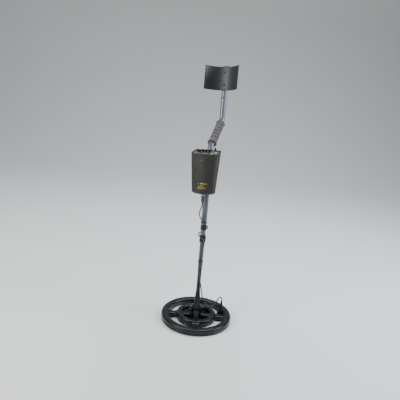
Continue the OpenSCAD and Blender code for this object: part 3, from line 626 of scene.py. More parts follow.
def done(obj, name, slot, body, replaces=(), angle=38):
    """Names a piece, gives it its finish and its body, and hides the CAD nodes that it replaces."""
    obj.name = name
    obj.data.name = name
    obj.data.materials.clear()
    obj.data.materials.append(finish_of(slot))
    activate(obj)
    bpy.ops.object.shade_smooth_by_angle(angle=math.radians(angle))
    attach(obj, body)
    slot in RECORD_SLOTS
    if replaces:
        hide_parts(*replaces)
    return obj


RECORD_SLOTS = {material["slot"] for material in frame["record"]["materials"]}


def along(place, distance, side=(0.0, 0.0)):
    """A frame shifted along its own axis, and sideways."""
    return place @ Matrix.Translation((side[0], side[1], distance))


def smoothstep(low, high, value):
    t = max(0.0, min(1.0, (value - low) / (high - low)))
    return t * t * (3 - 2 * t)


HANDLE = along(UPPER, BEND_AT) @ Matrix.Rotation(-HANDLE_ANGLE, 4, "X")
PANEL_Y = PANEL_UP.cross(PANEL_X)
PANEL = axes(
    Vector(JOINTS["power_lever_flip"]["pos_m"]) - PANEL_X * 36 * MM - PANEL_Y * 12 * MM,
    PANEL_UP, PANEL_X)
ACROSS = Matrix.Rotation(math.pi / 2, 4, "Y")


# ---------- sizes and colours to change ----------

def size_property(name, description, default):
    """A length in metres."""
    return bpy.props.FloatProperty(
        name=name, description=description, default=default, min=0,
        subtype="DISTANCE", unit="LENGTH")


def colour_property(name, description, default):
    """A linear colour."""
    return bpy.props.FloatVectorProperty(
        name=name, description=description, default=default, size=3, min=0, max=1, subtype="COLOR")


class DetectorSizes(bpy.types.PropertyGroup):
    """Sizes of the detector's finished pieces."""
    cable: size_property("Cable", "Diameter of the coil cable", CABLE_D)
    groove: size_property("Grip groove", "Depth of the grooves in the foam grip", 2.6 * MM)
    stitch_gap: size_property(
        "Stitch spacing", "Distance between stitches on the box cover", 3.6 * MM)
    stitch: size_property("Stitch length", "Length of one stitch on the box cover", 2.3 * MM)
    crease: size_property("Crease height", "Height of the creases in the box cover", 1.3 * MM)
    piping: size_property("Piping", "Radius of the piping round the box's rim", 1.5 * MM)
    floor: size_property("Floor", "Half the width of the studio floor", 5.0)


class DetectorColours(bpy.types.PropertyGroup):
    """Colours of the detector's finishes."""
    upper: colour_property(
        "Upper stem", "Blue-grey coat of the upper and middle tubes", (0.14, 0.15, 0.185))
    lower: colour_property("Lower stem", "Grey coat of the lower tube", (0.095, 0.105, 0.125))
    foam: colour_property("Grip", "Warm grey foam of the grip", (0.066, 0.058, 0.06))
    armrest: colour_property("Armrest", "Dark grey plastic of the armrest", (0.02, 0.0235, 0.026))
    cover: colour_property(
        "Box cover", "Black leatherette of the box cover", (0.0175, 0.0165, 0.0125))
    panel: colour_property("Panel", "Grey face of the control panel", (0.055, 0.055, 0.052))
    marks: colour_property("Marks", "Gold of the foil marks", (0.5, 0.36, 0.1))
    cable: colour_property("Cable", "Jacket of the coil cable", (0.045, 0.048, 0.055))
    floor: colour_property("Floor", "Pale studio floor", (0.8, 0.8, 0.79))


def sizes():
    return bpy.context.scene.detector_sizes


# ---------- stage ----------

LENS = 44.32
CAMERA_AZIMUTH = math.radians(0.16)
CAMERA_PITCH = math.radians(16.25)
CAMERA_ROLL = math.radians(4.99)
CAMERA_BACK = 1.7904
CAMERA_UP = 1.0212
CAMERA_ASIDE = -0.0238


class DETECTOR_OT_stage(bpy.types.Operator):
    """Adds the camera, the soft studio lights and the pale floor"""
    bl_idname = "detector.stage"
    bl_label = "Studio stage"

    def execute(self, context):
        self.camera(context)
        self.light("key", (-2.0, -1.2, 1.7), 1.3, 62, (1.0, 0.985, 0.96))
        self.light("rim", (1.9, -0.1, 1.6), 1.1, 46, (0.86, 0.93, 1.0))
        self.light("sky", (0.1, 0.9, 2.8), 2.0, 70, (0.88, 0.94, 1.0))
        world = bpy.data.worlds.new("studio_air")
        context.scene.world = world
        world.use_nodes = True
        air = world.node_tree.nodes["Background"]
        air.inputs["Color"].default_value = (0.8, 0.84, 0.9, 1)
        air.inputs["Strength"].default_value = 0.28
        self.floor()
        return {"FINISHED"}

    def camera(self, context):
        data = bpy.data.cameras.new("studio_camera")
        data.lens = LENS
        data.sensor_width = 36
        ahead = Vector((math.sin(CAMERA_AZIMUTH), math.cos(CAMERA_AZIMUTH), 0))
        right = Vector((math.cos(CAMERA_AZIMUTH), -math.sin(CAMERA_AZIMUTH), 0))
        place = right * CAMERA_ASIDE - ahead * CAMERA_BACK + Vector((0, 0, CAMERA_UP))
        look = ahead * math.cos(CAMERA_PITCH) - Vector((0, 0, 1)) * math.sin(CAMERA_PITCH)
        up = right.cross(look)
        across = right * math.cos(CAMERA_ROLL) + up * math.sin(CAMERA_ROLL)
        upright = up * math.cos(CAMERA_ROLL) - right * math.sin(CAMERA_ROLL)
        camera = bpy.data.objects.new("studio_camera", data)
        stand = Matrix((across, upright, -look)).transposed().to_4x4()
        stand.translation = place
        camera.matrix_world = stand
        context.collection.objects.link(camera)
        context.scene.camera = camera

    def light(self, name, place, size, power, colour):
        data = bpy.data.lights.new(name, "AREA")
        data.shape = "DISK"
        data.size = size
        data.energy = power
        data.color = colour
        lamp = bpy.data.objects.new(name, data)
        lamp.location = place
        aim = Vector((0, 0, 0.45)) - Vector(place)
        lamp.rotation_euler = aim.to_track_quat("-Z", "Y").to_euler()
        bpy.context.collection.objects.link(lamp)

    def floor(self):
        deselect()
        half = sizes().floor
        bpy.ops.mesh.primitive_grid_add(x_subdivisions=4, y_subdivisions=64, size=2)
        obj = bpy.context.object
        flat, radius = 0.9 * half, 0.4 * half
        for vertex in obj.data.vertices:
            way = (vertex.co.y + 1) * half
            bend = min(max(way - flat, 0), radius * math.pi / 2)
            rise = max(way - flat - radius * math.pi / 2, 0)
            ahead = min(way, flat) + radius * math.sin(bend / radius) - 0.45 * half
            height = radius * (1 - math.cos(bend / radius)) + rise
            vertex.co = (vertex.co.x * half, ahead, height)
        obj.name = "studio_floor"
        obj.data.materials.append(studio_paper("studio_paper", tuple(context_colour("floor"))))
        bpy.ops.object.shade_smooth()


def context_colour(name):
    return getattr(bpy.context.scene.detector_colours, name)


# ---------- cable ----------

CURVE_STEPS = 6
CABLE_SIDES = 14


def smooth_line(points, steps):
    """A smooth curve through points, with a number of steps between neighbours."""
    line = []
    last = len(points) - 1
    for i in range(last):
        a, b = points[max(i - 1, 0)], points[i]
        c, d = points[i + 1], points[min(i + 2, last)]
        for j in range(steps):
            t = j / steps
            line.append(0.5 * (2 * b + (c - a) * t + (2 * a - 5 * b + 4 * c - d) * t ** 2
                               + (3 * b - a - 3 * c + d) * t ** 3))
    return line + [points[last]]


def cable_arch():
    """The points of the cable's arch, from its last low point over into the boot."""
    tip = GLAND_SPOT + Vector((0, 0, GLAND_H))
    low = Vector(COIL_ROUTE[-1]) * MM
    toward = Vector((low.x - tip.x, low.y - tip.y, 0)).normalized()
    centre = tip + toward * ARCH_R + Vector((0, 0, ARCH_RISE))
    arc = [centre + ARCH_R * Vector((0, 0, math.sin(angle))) - ARCH_R * math.cos(angle) * toward
           for angle in (math.radians(turn) for turn in (144, 108, 72, 36, 0))]
    return [low.lerp(arc[0], 1 / 3), low.lerp(arc[0], 2 / 3), *arc, tip]


def cable_points():
    """The cable's whole route, and where on its curve each piece ends."""
    routes = [UPPER_ROUTE, WRAP_UPPER_ROUTE[1:], WRAP_LOWER_ROUTE[1:], LOWER_ROUTE[1:]]
    points = [STEM @ (Vector(spot) * MM) for route in routes for spot in route]
    points += [Vector(spot) * MM for spot in COIL_ROUTE] + cable_arch()
    ends = [0]
    for route in routes[:3]:
        ends.append(ends[-1] + len(route))
    marks = [0] + [(end - 1) * CURVE_STEPS for end in ends[1:]] + [(len(points) - 1) * CURVE_STEPS]
    return smooth_line(points, CURVE_STEPS), marks


class DETECTOR_OT_cable(bpy.types.Operator):
    """Adds the coil cable in its four lengths, with its plug"""
    bl_idname = "detector.cable"
    bl_label = "Coil cable"

    def execute(self, context):
        self.line, marks = cable_points()
        self.sides = self.side_directions()
        plug = self.plug()
        stem = "upper_stem"
        for name, first, last, bodies, pieces in (
                ("cable_upper", marks[0], marks[1], (stem,), (plug,)),
                ("cable_wrap_upper", marks[1], marks[2], (stem, "lock_collet"), ()),
                ("cable_wrap_lower", marks[2], marks[3], ("lock_collet", "lower_stem"), ()),
                ("cable_lower", marks[3], marks[4], ("lower_stem", "coil"), ())):
            self.length_of_cable(name, first, last, bodies, pieces)
        return {"FINISHED"}

    def side_directions(self):
        """A side direction at each point that never twists along the curve."""
        line = self.line
        side = Vector((0.3, 0.9, 0.2))
        self.headings = [
            (line[min(i + 1, len(line) - 1)] - line[max(i - 1, 0)]).normalized()
            for i in range(len(line))]
        sides = []
        for heading in self.headings:
            side = (side - heading * side.dot(heading)).normalized()
            sides.append(side)
        return sides

    def length_of_cable(self, name, first, last, bodies, pieces):
        radius = sizes().cable / 2

        def spot(row, column):
            i = first + row
            angle = TAU * column / CABLE_SIDES
            side = self.sides[i]
            return self.line[i] + radius * (
                math.cos(angle) * side + math.sin(angle) * self.headings[i].cross(side))
        obj = skin(last - first, CABLE_SIDES, spot)
        obj.name = name + "_jacket"
        obj.data.materials.append(finish_of("cable_jacket"))
        bpy.ops.object.shade_smooth_by_angle(angle=math.radians(50))
        path = self.line[first:last + 1]
        if len(bodies) == 2:
            start, end = path[0], path[-1]
            if bodies[1] == "coil":
                end = path[-2 * CURVE_STEPS]
            else:
                start, end = self.on_axis(start, 2 * MM, end), self.on_axis(end, 2 * MM, start)
            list(bodies)
            tuple(start)
            tuple(end)
            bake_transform(obj)
        else:
            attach(obj, bodies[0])
        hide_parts(name)
        length = sum((b - a).length for a, b in zip(path, path[1:]))
        tuple(path[0])
        [tuple(point) for point in path]
        list(pieces)

    def on_axis(self, point, margin, other):
        """The point on the stem's axis beside a point, moved in by a margin."""
        spot = PIVOT + STEM_AXIS * (point - PIVOT).dot(STEM_AXIS)
        toward = PIVOT + STEM_AXIS * (other - PIVOT).dot(STEM_AXIS)
        return spot + (toward - spot).normalized() * margin

    def plug(self):
        """The screw-on plug: knurled collar, barrel and ribbed boot."""
        low = 423
        rows = [(2.5, 0, 0), (2.9, 0.4, 0), (3.3, 2.2, 0), (2.9, 2.5, 0), (3.1, 2.9, 0),
                (3.9, 5, 0),
                (3.4, 5.3, 0), (3.6, 5.7, 0), (4.6, 8, 0), (5.6, 8.3, 0), (6.0, 8.7, 0),
                (6.0, 17.6, 0), (6.1, 18, 0), (6.6, 18.5, 1), (6.6, 30.6, 1), (6.2, 31.2, 1),
                (5.6, 31.6, 0), (5.6, 32, 0)]
        ribs = 24
        columns = ribs * 4

        def spot(row, column):
            radius, height, knurl = rows[row]
            angle = TAU * column / columns
            radius -= 0.35 * knurl * (0.5 + 0.5 * math.cos(ribs * angle))
            return (radius * math.cos(angle) * MM, radius * math.sin(angle) * MM, height * MM)
        plug = placed(skin(len(rows) - 1, columns, spot),
                      along(UPPER, low * MM, (0, -36 * MM)))
        return done(plug, "cable_plug_barrel", "plug_plastic", "upper_stem", ["cable_plug"], 30)


# ---------- search coil ----------

RING_TOP = 25
COIL_FOOT = 2.4
SPOKE_TOP = 21


class DETECTOR_OT_coil(bpy.types.Operator):
    """Adds the spoked coil shell, its cover and the cable's rubber boot"""
    bl_idname = "detector.coil"
    bl_label = "Search coil"

    def execute(self, context):
        parts = [
            self.ring(113, 140, RING_TOP, 6.5), self.ring(58, 78, RING_TOP + 2, 6),
            self.spoke(0), self.spoke(math.pi / 2), self.web(), self.boss()]
        parts += [self.ear(side) for side in (-1, 1)]
        done(joined(parts), "coil_shell", "coil_plastic", "coil", ["coil_housing"], 32)
        cover = smooth_copy("coil_base_cover", edge=0.4 * MM)
        done(cover, "coil_underside", "coil_cover_plastic", "coil", ["coil_base_cover"])
        self.gland()
        return {"FINISHED"}

    def ring(self, inner, outer, top, rounding):
        """One ring, with a fine parting line round each flank."""
        seam, depth = 8.5, 0.45
        return turned([
            (outer, COIL_FOOT, 0.3), (outer, seam - depth, 0.2), (outer - depth, seam, 0),
            (outer, seam + depth, 0.2), (outer, top, rounding),
            ((inner + outer) / 2, top + 0.25, 12),
            (inner, top, rounding), (inner, seam + depth, 0.2), (inner + depth, seam, 0),
            (inner, seam - depth, 0.2), (inner, COIL_FOOT, 0.3)], 160, 7)

    def spoke(self, turn):
        """A bar right across the coil that flares where it runs into the rings."""
        reach, rows, columns = 118, 150, 36

        def spot(row, column):
            x = -reach + 2 * reach * row / rows
            flare = (math.exp(-max(113 - abs(x), 0) / 7) + math.exp(-abs(abs(x) - 78) / 6)
                     * (abs(x) > 60) + math.exp(-abs(58 - abs(x)) / 6) * (abs(x) < 78))
            half = 12 + 5.5 * min(flare, 1) - 0.4
            top = SPOKE_TOP + 2.5 * min(flare, 1) ** 2
            t = column / columns * TAU - math.pi / 2
            across = math.copysign(abs(math.cos(t)) ** 0.42, math.cos(t)) * half
            up = math.copysign(abs(math.sin(t)) ** 0.42, math.sin(t))
            height = COIL_FOOT + (top - COIL_FOOT) * (0.5 + 0.5 * up)
            place = Vector((x, across, height)) * MM
            place.rotate(Matrix.Rotation(turn, 3, "Z"))
            return place
        return skin(rows, columns, spot)

    def web(self):
        return turned([(0, COIL_FOOT, 0), (62, COIL_FOOT, 0.3), (62, 7, 0.6), (30, 7, 2),
                       (28, 7.6, 1),
                       (0, 7.6, 0)], 96)

    def boss(self):
        """The raised seat of the cable's boot."""
        boss = turned([(0, COIL_FOOT, 0), (16, COIL_FOOT, 0.3), (14.5, 8, 4), (12, 14, 4),
                       (12, 22, 1.6),
                       (9, 22, 0.3), (0, 22, 0)], 48)
        return placed(boss, Matrix.Translation((GLAND_SPOT.x, GLAND_SPOT.y, 0)))

    def ear(self, side):
        """One ear of the fork: round head and flared foot."""
        outline = []
        for i in range(33):
            angle = math.pi * i / 32
            outline.append((15 * math.cos(angle), 47 + 15 * math.sin(angle)))
        for i in range(1, 13):
            height = 47 - 44 * i / 12
            outline.append((-15 - 5 * math.exp(-(height - 3) / 9), height))
        for i in range(12, 0, -1):
            height = 47 - 44 * i / 12
            outline.append((15 + 5 * math.exp(-(height - 3) / 9), height))
        outline = [(a * MM, b * MM) for a, b in outline]
        plate = slab(outline, 12.6 * MM, 18.6 * MM, 1.2 * MM)
        stand = Matrix(((0, 0, side, 0), (1, 0, 0, 0), (0, 1, 0, 0), (0, 0, 0, 1)))
        placed(plate, stand)
        return cleaned(plate)

    def gland(self):
        """The ribbed rubber boot that carries the cable into the coil."""
        corners = [(0.5, 0.2, 0), (8.3, 0.2, 0.4), (8.4, 3.6, 1), (7.1, 4.2, 0.4)]
        ribs = 9
        for i in range(ribs):
            low = 4.6 + i * 3.7
            radius = 7.0 - (7.0 - 3.0) * (low - 4) / 36
            corners += [(radius, low, 0.3), (radius - 0.1, low + 2.2, 0.4),
                        (radius - 1.0, low + 2.7, 0.2), (radius - 1.05, low + 3.3, 0.2)]
        corners += [(2.95, 38.2, 0.3), (2.8, 40, 0.4), (0.5, 40, 0)]
        boot = placed(turned(corners, 40, 3), Matrix.Translation(GLAND_SPOT))
        return done(boot, "cable_boot", "soft_rubber", "coil", ["cable_gland"], 35)


# ---------- tilt pivot and lower rod ----------

class DETECTOR_OT_pivot(bpy.types.Operator):
    """Adds the tilt bolt, its washers and wing nut, and the lower rod"""
    bl_idname = "detector.pivot"
    bl_label = "Tilt pivot"

    def execute(self, context):
        bolt = turned([(0, -28, 0), (3.6, -28, 0.4), (4, -27.2, 0.3), (4, 18.5, 0),
                       (7.6, 18.7, 0.3),
                       (8, 19.4, 0.6), (8, 23.4, 0.8), (6, 25.1, 0.8), (3, 25.1, 0.2),
                       (2.6, 24, 0.2),
                       (0, 24, 0)], 48)
        done(placed(bolt, axes(PIVOT, (1, 0, 0), (0, 1, 0))), "tilt_bolt", "black_plastic", "coil",
             ["pivot_bolt"])
        washers = smooth_copy("friction_washers")
        done(washers, "tilt_washers", "soft_rubber", "coil", ["friction_washers"])
        self.wing_nut()
        self.rod()
        return {"FINISHED"}

    def wing_nut(self):
        hub = turned([(4.05, 0, 0.2), (7.3, 0, 0.5), (7.5, 1, 0.5), (7.2, 7.5, 0.8), (6, 9, 0.8),
                      (4.05, 9, 0.2)], 40)
        wings = []
        for side in (-1, 1):
            outline = [(a * MM, b * MM) for a, b in softened(
                [(-4.3, 3, 0), (4.5, 3, 0), (5.6, 10, 2), (5.4, 15, 4.2), (-2.2, 15, 4.2),
                 (-4.3, 9, 3)], 5)]
            wing = slab(outline, -2 * MM, 2 * MM, 1 * MM)
            stand = Matrix(((0, 1, 0, 0), (0, 0, 1, 0), (1, 0, 0, 4.6 * MM), (0, 0, 0, 1)))
            placed(wing, Matrix.Rotation(math.radians(90 + side * 62), 4, "Z") @ stand)
            wings.append(cleaned(wing))
        nut = joined([hub] + wings)
        place = axes(PIVOT - Vector((18.9 * MM, 0, 0)), (-1, 0, 0), (0, 1, 0))
        done(placed(nut, place), "tilt_wing_nut", "black_plastic", "wing_nut", ["wing_nut"])

    def rod(self):
        """The moulded rod: a rounded block at the bolt that draws in to a round rod."""
        heights = [-13 + 13 * (1 - math.cos(math.pi / 2 * i / 12)) for i in range(13)]
        heights += [4 * i for i in range(1, 26)] + [120, 140, 155.8, 156, 160.9, 161.1, 180, 205]
        columns = 48

        def spot(row, column):
            height = heights[row]
            slim = smoothstep(30, 86, height)
            half_x = 11 + (7.7 - 11) * slim
            half_y = 13 + (7.7 - 13) * slim
            if height < 0:
                half_y = math.sqrt(max(13 ** 2 - height ** 2, 0.3))
            if 155.9 <= height <= 161:
                half_x = half_y = 8.6
            power = 2 / (7 - 5 * smoothstep(24, 80, height))
            angle = TAU * column / columns
            x, y = math.cos(angle), math.sin(angle)
            return (math.copysign(abs(x) ** power, x) * half_x * MM,
                    math.copysign(abs(y) ** power, y) * half_y * MM, height * MM)
        rod = placed(skin(len(heights) - 1, columns, spot), STEM)
        done(rod, "lower_rod_moulding", "rod_plastic", "lower_stem", ["lower_rod"], 32)


# ---------- stem ----------

class DETECTOR_OT_stem(bpy.types.Operator):
    """Adds the coated tubes, the twist lock, the ferrule and the snap button"""
    bl_idname = "detector.stem"
    bl_label = "Stem"

    def execute(self, context):
        for node, name, body in (
                ("lower_tube", "lower_tube_coated", "lower_stem"),
                ("rod_rivet", "rod_rivet_head", "lower_stem"),
                ("cable_tie_lower", "cable_band_lower", "lower_stem"),
                ("cable_tie_upper", "cable_band_upper", "upper_stem"),
                ("lock_collet", "lock_collet_split", "lock_collet"),
                ("middle_tube", "middle_tube_coated", "upper_stem"),
                ("upper_tube", "upper_tube_coated", "upper_stem"),
                ("tube_end_plug", "tube_end_cap", "upper_stem"),
                ("spring_button", "snap_button", "spring_button")):
            done(smooth_copy(node), name, record_slot(node), body, [node], 34)
        self.nut()
        ferrule = turned([(10.15, 317, 0.3), (11.6, 317, 0.5), (12.25, 318.2, 0.5),
                          (12.25, 323, 0.3),
                          (11.8, 323.6, 0.2), (11.8, 324.8, 0.2), (12.25, 325.4, 0.3),
                          (12.25, 335.6, 0.5),
                          (11.6, 337, 0.4), (11.3, 337, 0.1), (11.3, 321, 0), (10.15, 321, 0)], 64)
        done(placed(ferrule, UPPER), "stem_ferrule_collar", "black_plastic", "upper_stem",
             ["stem_ferrule"])
        return {"FINISHED"}

    def nut(self):
        """The twist-lock nut, with its ribs between two plain rims."""
        rows = [(9.35, 0, 0), (11.6, 0, 0), (12.1, 0.5, 0), (12.3, 2.2, 0), (12.5, 3, 0.4),
                (13, 4, 1),
                (13, 24, 1), (12.5, 25, 0.4), (12.3, 25.8, 0), (12.1, 27.5, 0), (11.6, 28, 0),
                (10.2, 28, 0), (10.2, 18.3, 0), (9.35, 18.2, 0), (9.35, 0, 0)]
        ribs = 18
        columns = ribs * 8

        def spot(row, column):
            radius, height, rib = rows[row]
            angle = TAU * column / columns
            radius -= 1.1 * rib * (0.5 - 0.5 * math.cos(ribs * angle)) ** 1.5
            return (radius * math.cos(angle) * MM, radius * math.sin(angle) * MM, height * MM)
        nut = placed(skin(len(rows) - 1, columns, spot, caps=False), along(UPPER, NUT_FROM))
        done(nut, "twist_lock_nut", "black_plastic", "lock_nut", ["lock_nut"], 30)


# ---------- grip ----------

class DETECTOR_OT_grip(bpy.types.Operator):
    """Adds the grooved foam grip"""
    bl_idname = "detector.grip"
    bl_label = "Foam grip"

    def execute(self, context):
        length, radius, bead, bore, rows, columns = 122, 17, 2.4, 11.35, 150, 72
        deep = sizes().groove / MM

        def outer(height):
            beads = bead * sum(math.exp(-abs((height - spot) / 4.1) ** 3.4)
                               for spot in (4.4, length - 4.4))
            grooves = sum(math.exp(-abs((height - length / 2 - spot) / 3.4) ** 2)
                          for spot in (-36, -18, 0, 18, 36))
            ends = min(height, length - height)
            return radius + beads - deep * grooves - 2.2 * math.exp(-ends / 0.7)
        heights = [length * i / rows for i in range(rows + 1)]
        profile = [(bore, 0)] + [(outer(height), height) for height in heights]
        profile += [(bore, length), (bore, 0)]

        def spot(row, column):
            reach, height = profile[row]
            angle = TAU * column / columns
            if reach > 12:
                place = Vector((math.cos(angle), math.sin(angle), height / 9))
                reach += 0.22 * noise.noise(place * 1.6)
            return (reach * math.cos(angle) * MM, reach * math.sin(angle) * MM, height * MM)
        grip = skin(len(profile) - 1, columns, spot, caps=False)
        place = along(HANDLE, BEND_GAP / 2 - length / 2 * MM)
        done(placed(grip, place), "foam_grip_sleeve", "foam", "upper_stem", ["foam_grip"], 60)
        return {"FINISHED"}


# ---------- armrest ----------

class DETECTOR_OT_armrest(bpy.types.Operator):
    """Adds the curved armrest with its creased flanges, and its saddle, bolts and nuts"""
    bl_idname = "detector.armrest"
    bl_label = "Armrest"

    def execute(self, context):
        self.plate()
        done(smooth_copy("armrest_saddle", edge=0.8 * MM), "armrest_saddle_block", "black_plastic",
             "upper_stem", ["armrest_saddle"])
        for node, name in (("armrest_bolts", "armrest_bolt_heads"),
                           ("armrest_nuts", "armrest_nuts_hex")):
            done(smooth_copy(node, edge=0.3 * MM), name, "dark_steel", "upper_stem", [node])
        return {"FINISHED"}

    def plate(self):
        """The plate's rounded section, carried round the forearm."""
        rows, rim = 160, 1.4 * MM
        section = []
        for height in [0, 0.02, 0.06] + [0.1 + 0.8 * i / 22 for i in range(23)] + [0.94, 0.98, 1]:
            section.append((0, height))
        section += [(1, height) for _, height in reversed(section)]
        columns = len(section)
        half = CUP_HALF_ANGLE
        flange = half - math.radians(10)

        def spot(row, column):
            side, height = section[column]
            angle = -half + 2 * half * row / rows
            edge = min(height, 1 - height) * CUP_LEN
            ends = (half - abs(angle)) * CUP_R
            ease = min(1, math.sqrt(max(edge, 0.02 * MM) / rim))
            ease *= min(1, math.sqrt(max(ends, 0.05 * MM) / rim))
            past = smoothstep(flange, flange + math.radians(1.3), abs(angle))
            crease = math.exp(-((abs(angle) - flange + math.radians(0.6)) / math.radians(0.9)) ** 2)
            inner = CUP_R + 0.7 * MM * crease + 0.35 * MM * past
            outer = CUP_R + CUP_T + 1.2 * MM * past
            lip = 0.7 * MM * math.exp(-edge / (1.6 * MM))
            middle = (inner + outer) / 2
            reach = middle + (side - 0.5) * (outer - inner + lip * 0.5) * (0.35 + 0.65 * ease)
            return (reach * math.sin(angle), CUP_Y + reach * math.cos(angle),
                    CUP_TO - CUP_LEN + CUP_LEN * height)
        plate = placed(skin(rows, columns, spot), UPPER)
        done(plate, "armrest_plate", "armrest_plastic", "upper_stem", ["armrest"], 50)


# ---------- box cover ----------

COVER_ROWS = 62
RIM_TRIES = 5
SEAM_COLUMN = 25


def box_size(height, inset=0.0):
    """The box's width and depth at a height."""
    return (BOX_FOOT_W + BOX_GROWTH_W * height - 2 * inset,
            BOX_FOOT_D + BOX_GROWTH_D * height - 2 * inset)


def front_bow(wide, corner):
    """Half the front's chord and the radius of its bow."""
    chord = wide / 2 - corner
    return chord, (chord * chord + BOX_BOW ** 2) / (2 * BOX_BOW)


def cover_outline(wide, deep):
    """The box's outline seen along the stem, in millimetres, from the back's middle round."""
    r = min(BOX_CORNER, (deep - BOX_BOW) / 2)
    chord, bow_r = front_bow(wide, r)
    rise = bow_r - r - BOX_BOW
    reach = math.hypot(chord, rise)
    lean = math.atan2(chord, rise) - math.acos(min((bow_r - r) / reach, 1))
    back = BOX_BACK_CORNER
    half = [((wide / 2 - back) * i / 5, 0) for i in range(5)]
    for i in range(7):
        angle = math.pi / 2 * (1 - i / 6)
        half.append((wide / 2 - back + back * math.cos(angle), -back + back * math.sin(angle)))
    low = -deep + r + BOX_BOW
    half += [(wide / 2, -back + (low + back) * i / 8) for i in range(1, 8)]
    for i in range(13):
        angle = -(math.pi / 2 - lean) * i / 12
        half.append((wide / 2 - r + r * math.cos(angle), low + r * math.sin(angle)))
    for i in range(15):
        angle = lean * (1 - i / 14)
        half.append((bow_r * math.sin(angle), -deep + bow_r * (1 - math.cos(angle))))
    return half + [(-a, b) for a, b in reversed(half[1:-1])]


def cover_spot(column, height, inset=0.0):
    """A point of the box's wall at a column of its outline, in millimetres, with its way out."""
    points = cover_outline(*box_size(height, inset))
    a, b = points[column]
    before, after = points[column - 1], points[(column + 1) % len(points)]
    out = Vector((after[1] - before[1], before[0] - after[0]))
    out.normalize()
    if out.dot(Vector((a, b + box_size(height)[1] / 2))) < 0:
        out = -out
    return Vector((a, b + BOX_BACK - inset)), out


def rim_height(column, inset=0.0):
    """The height of the cover's trimmed rim at a column."""
    height = PANEL_AT[1]
    for _ in range(RIM_TRIES):
        spot, _ = cover_spot(column, height, inset)
        height = (PANEL_AT[1] + (spot.y - PANEL_AT[0]) * math.tan(PANEL_TILT)
                  + PANEL_RIM / math.cos(PANEL_TILT))
    return height


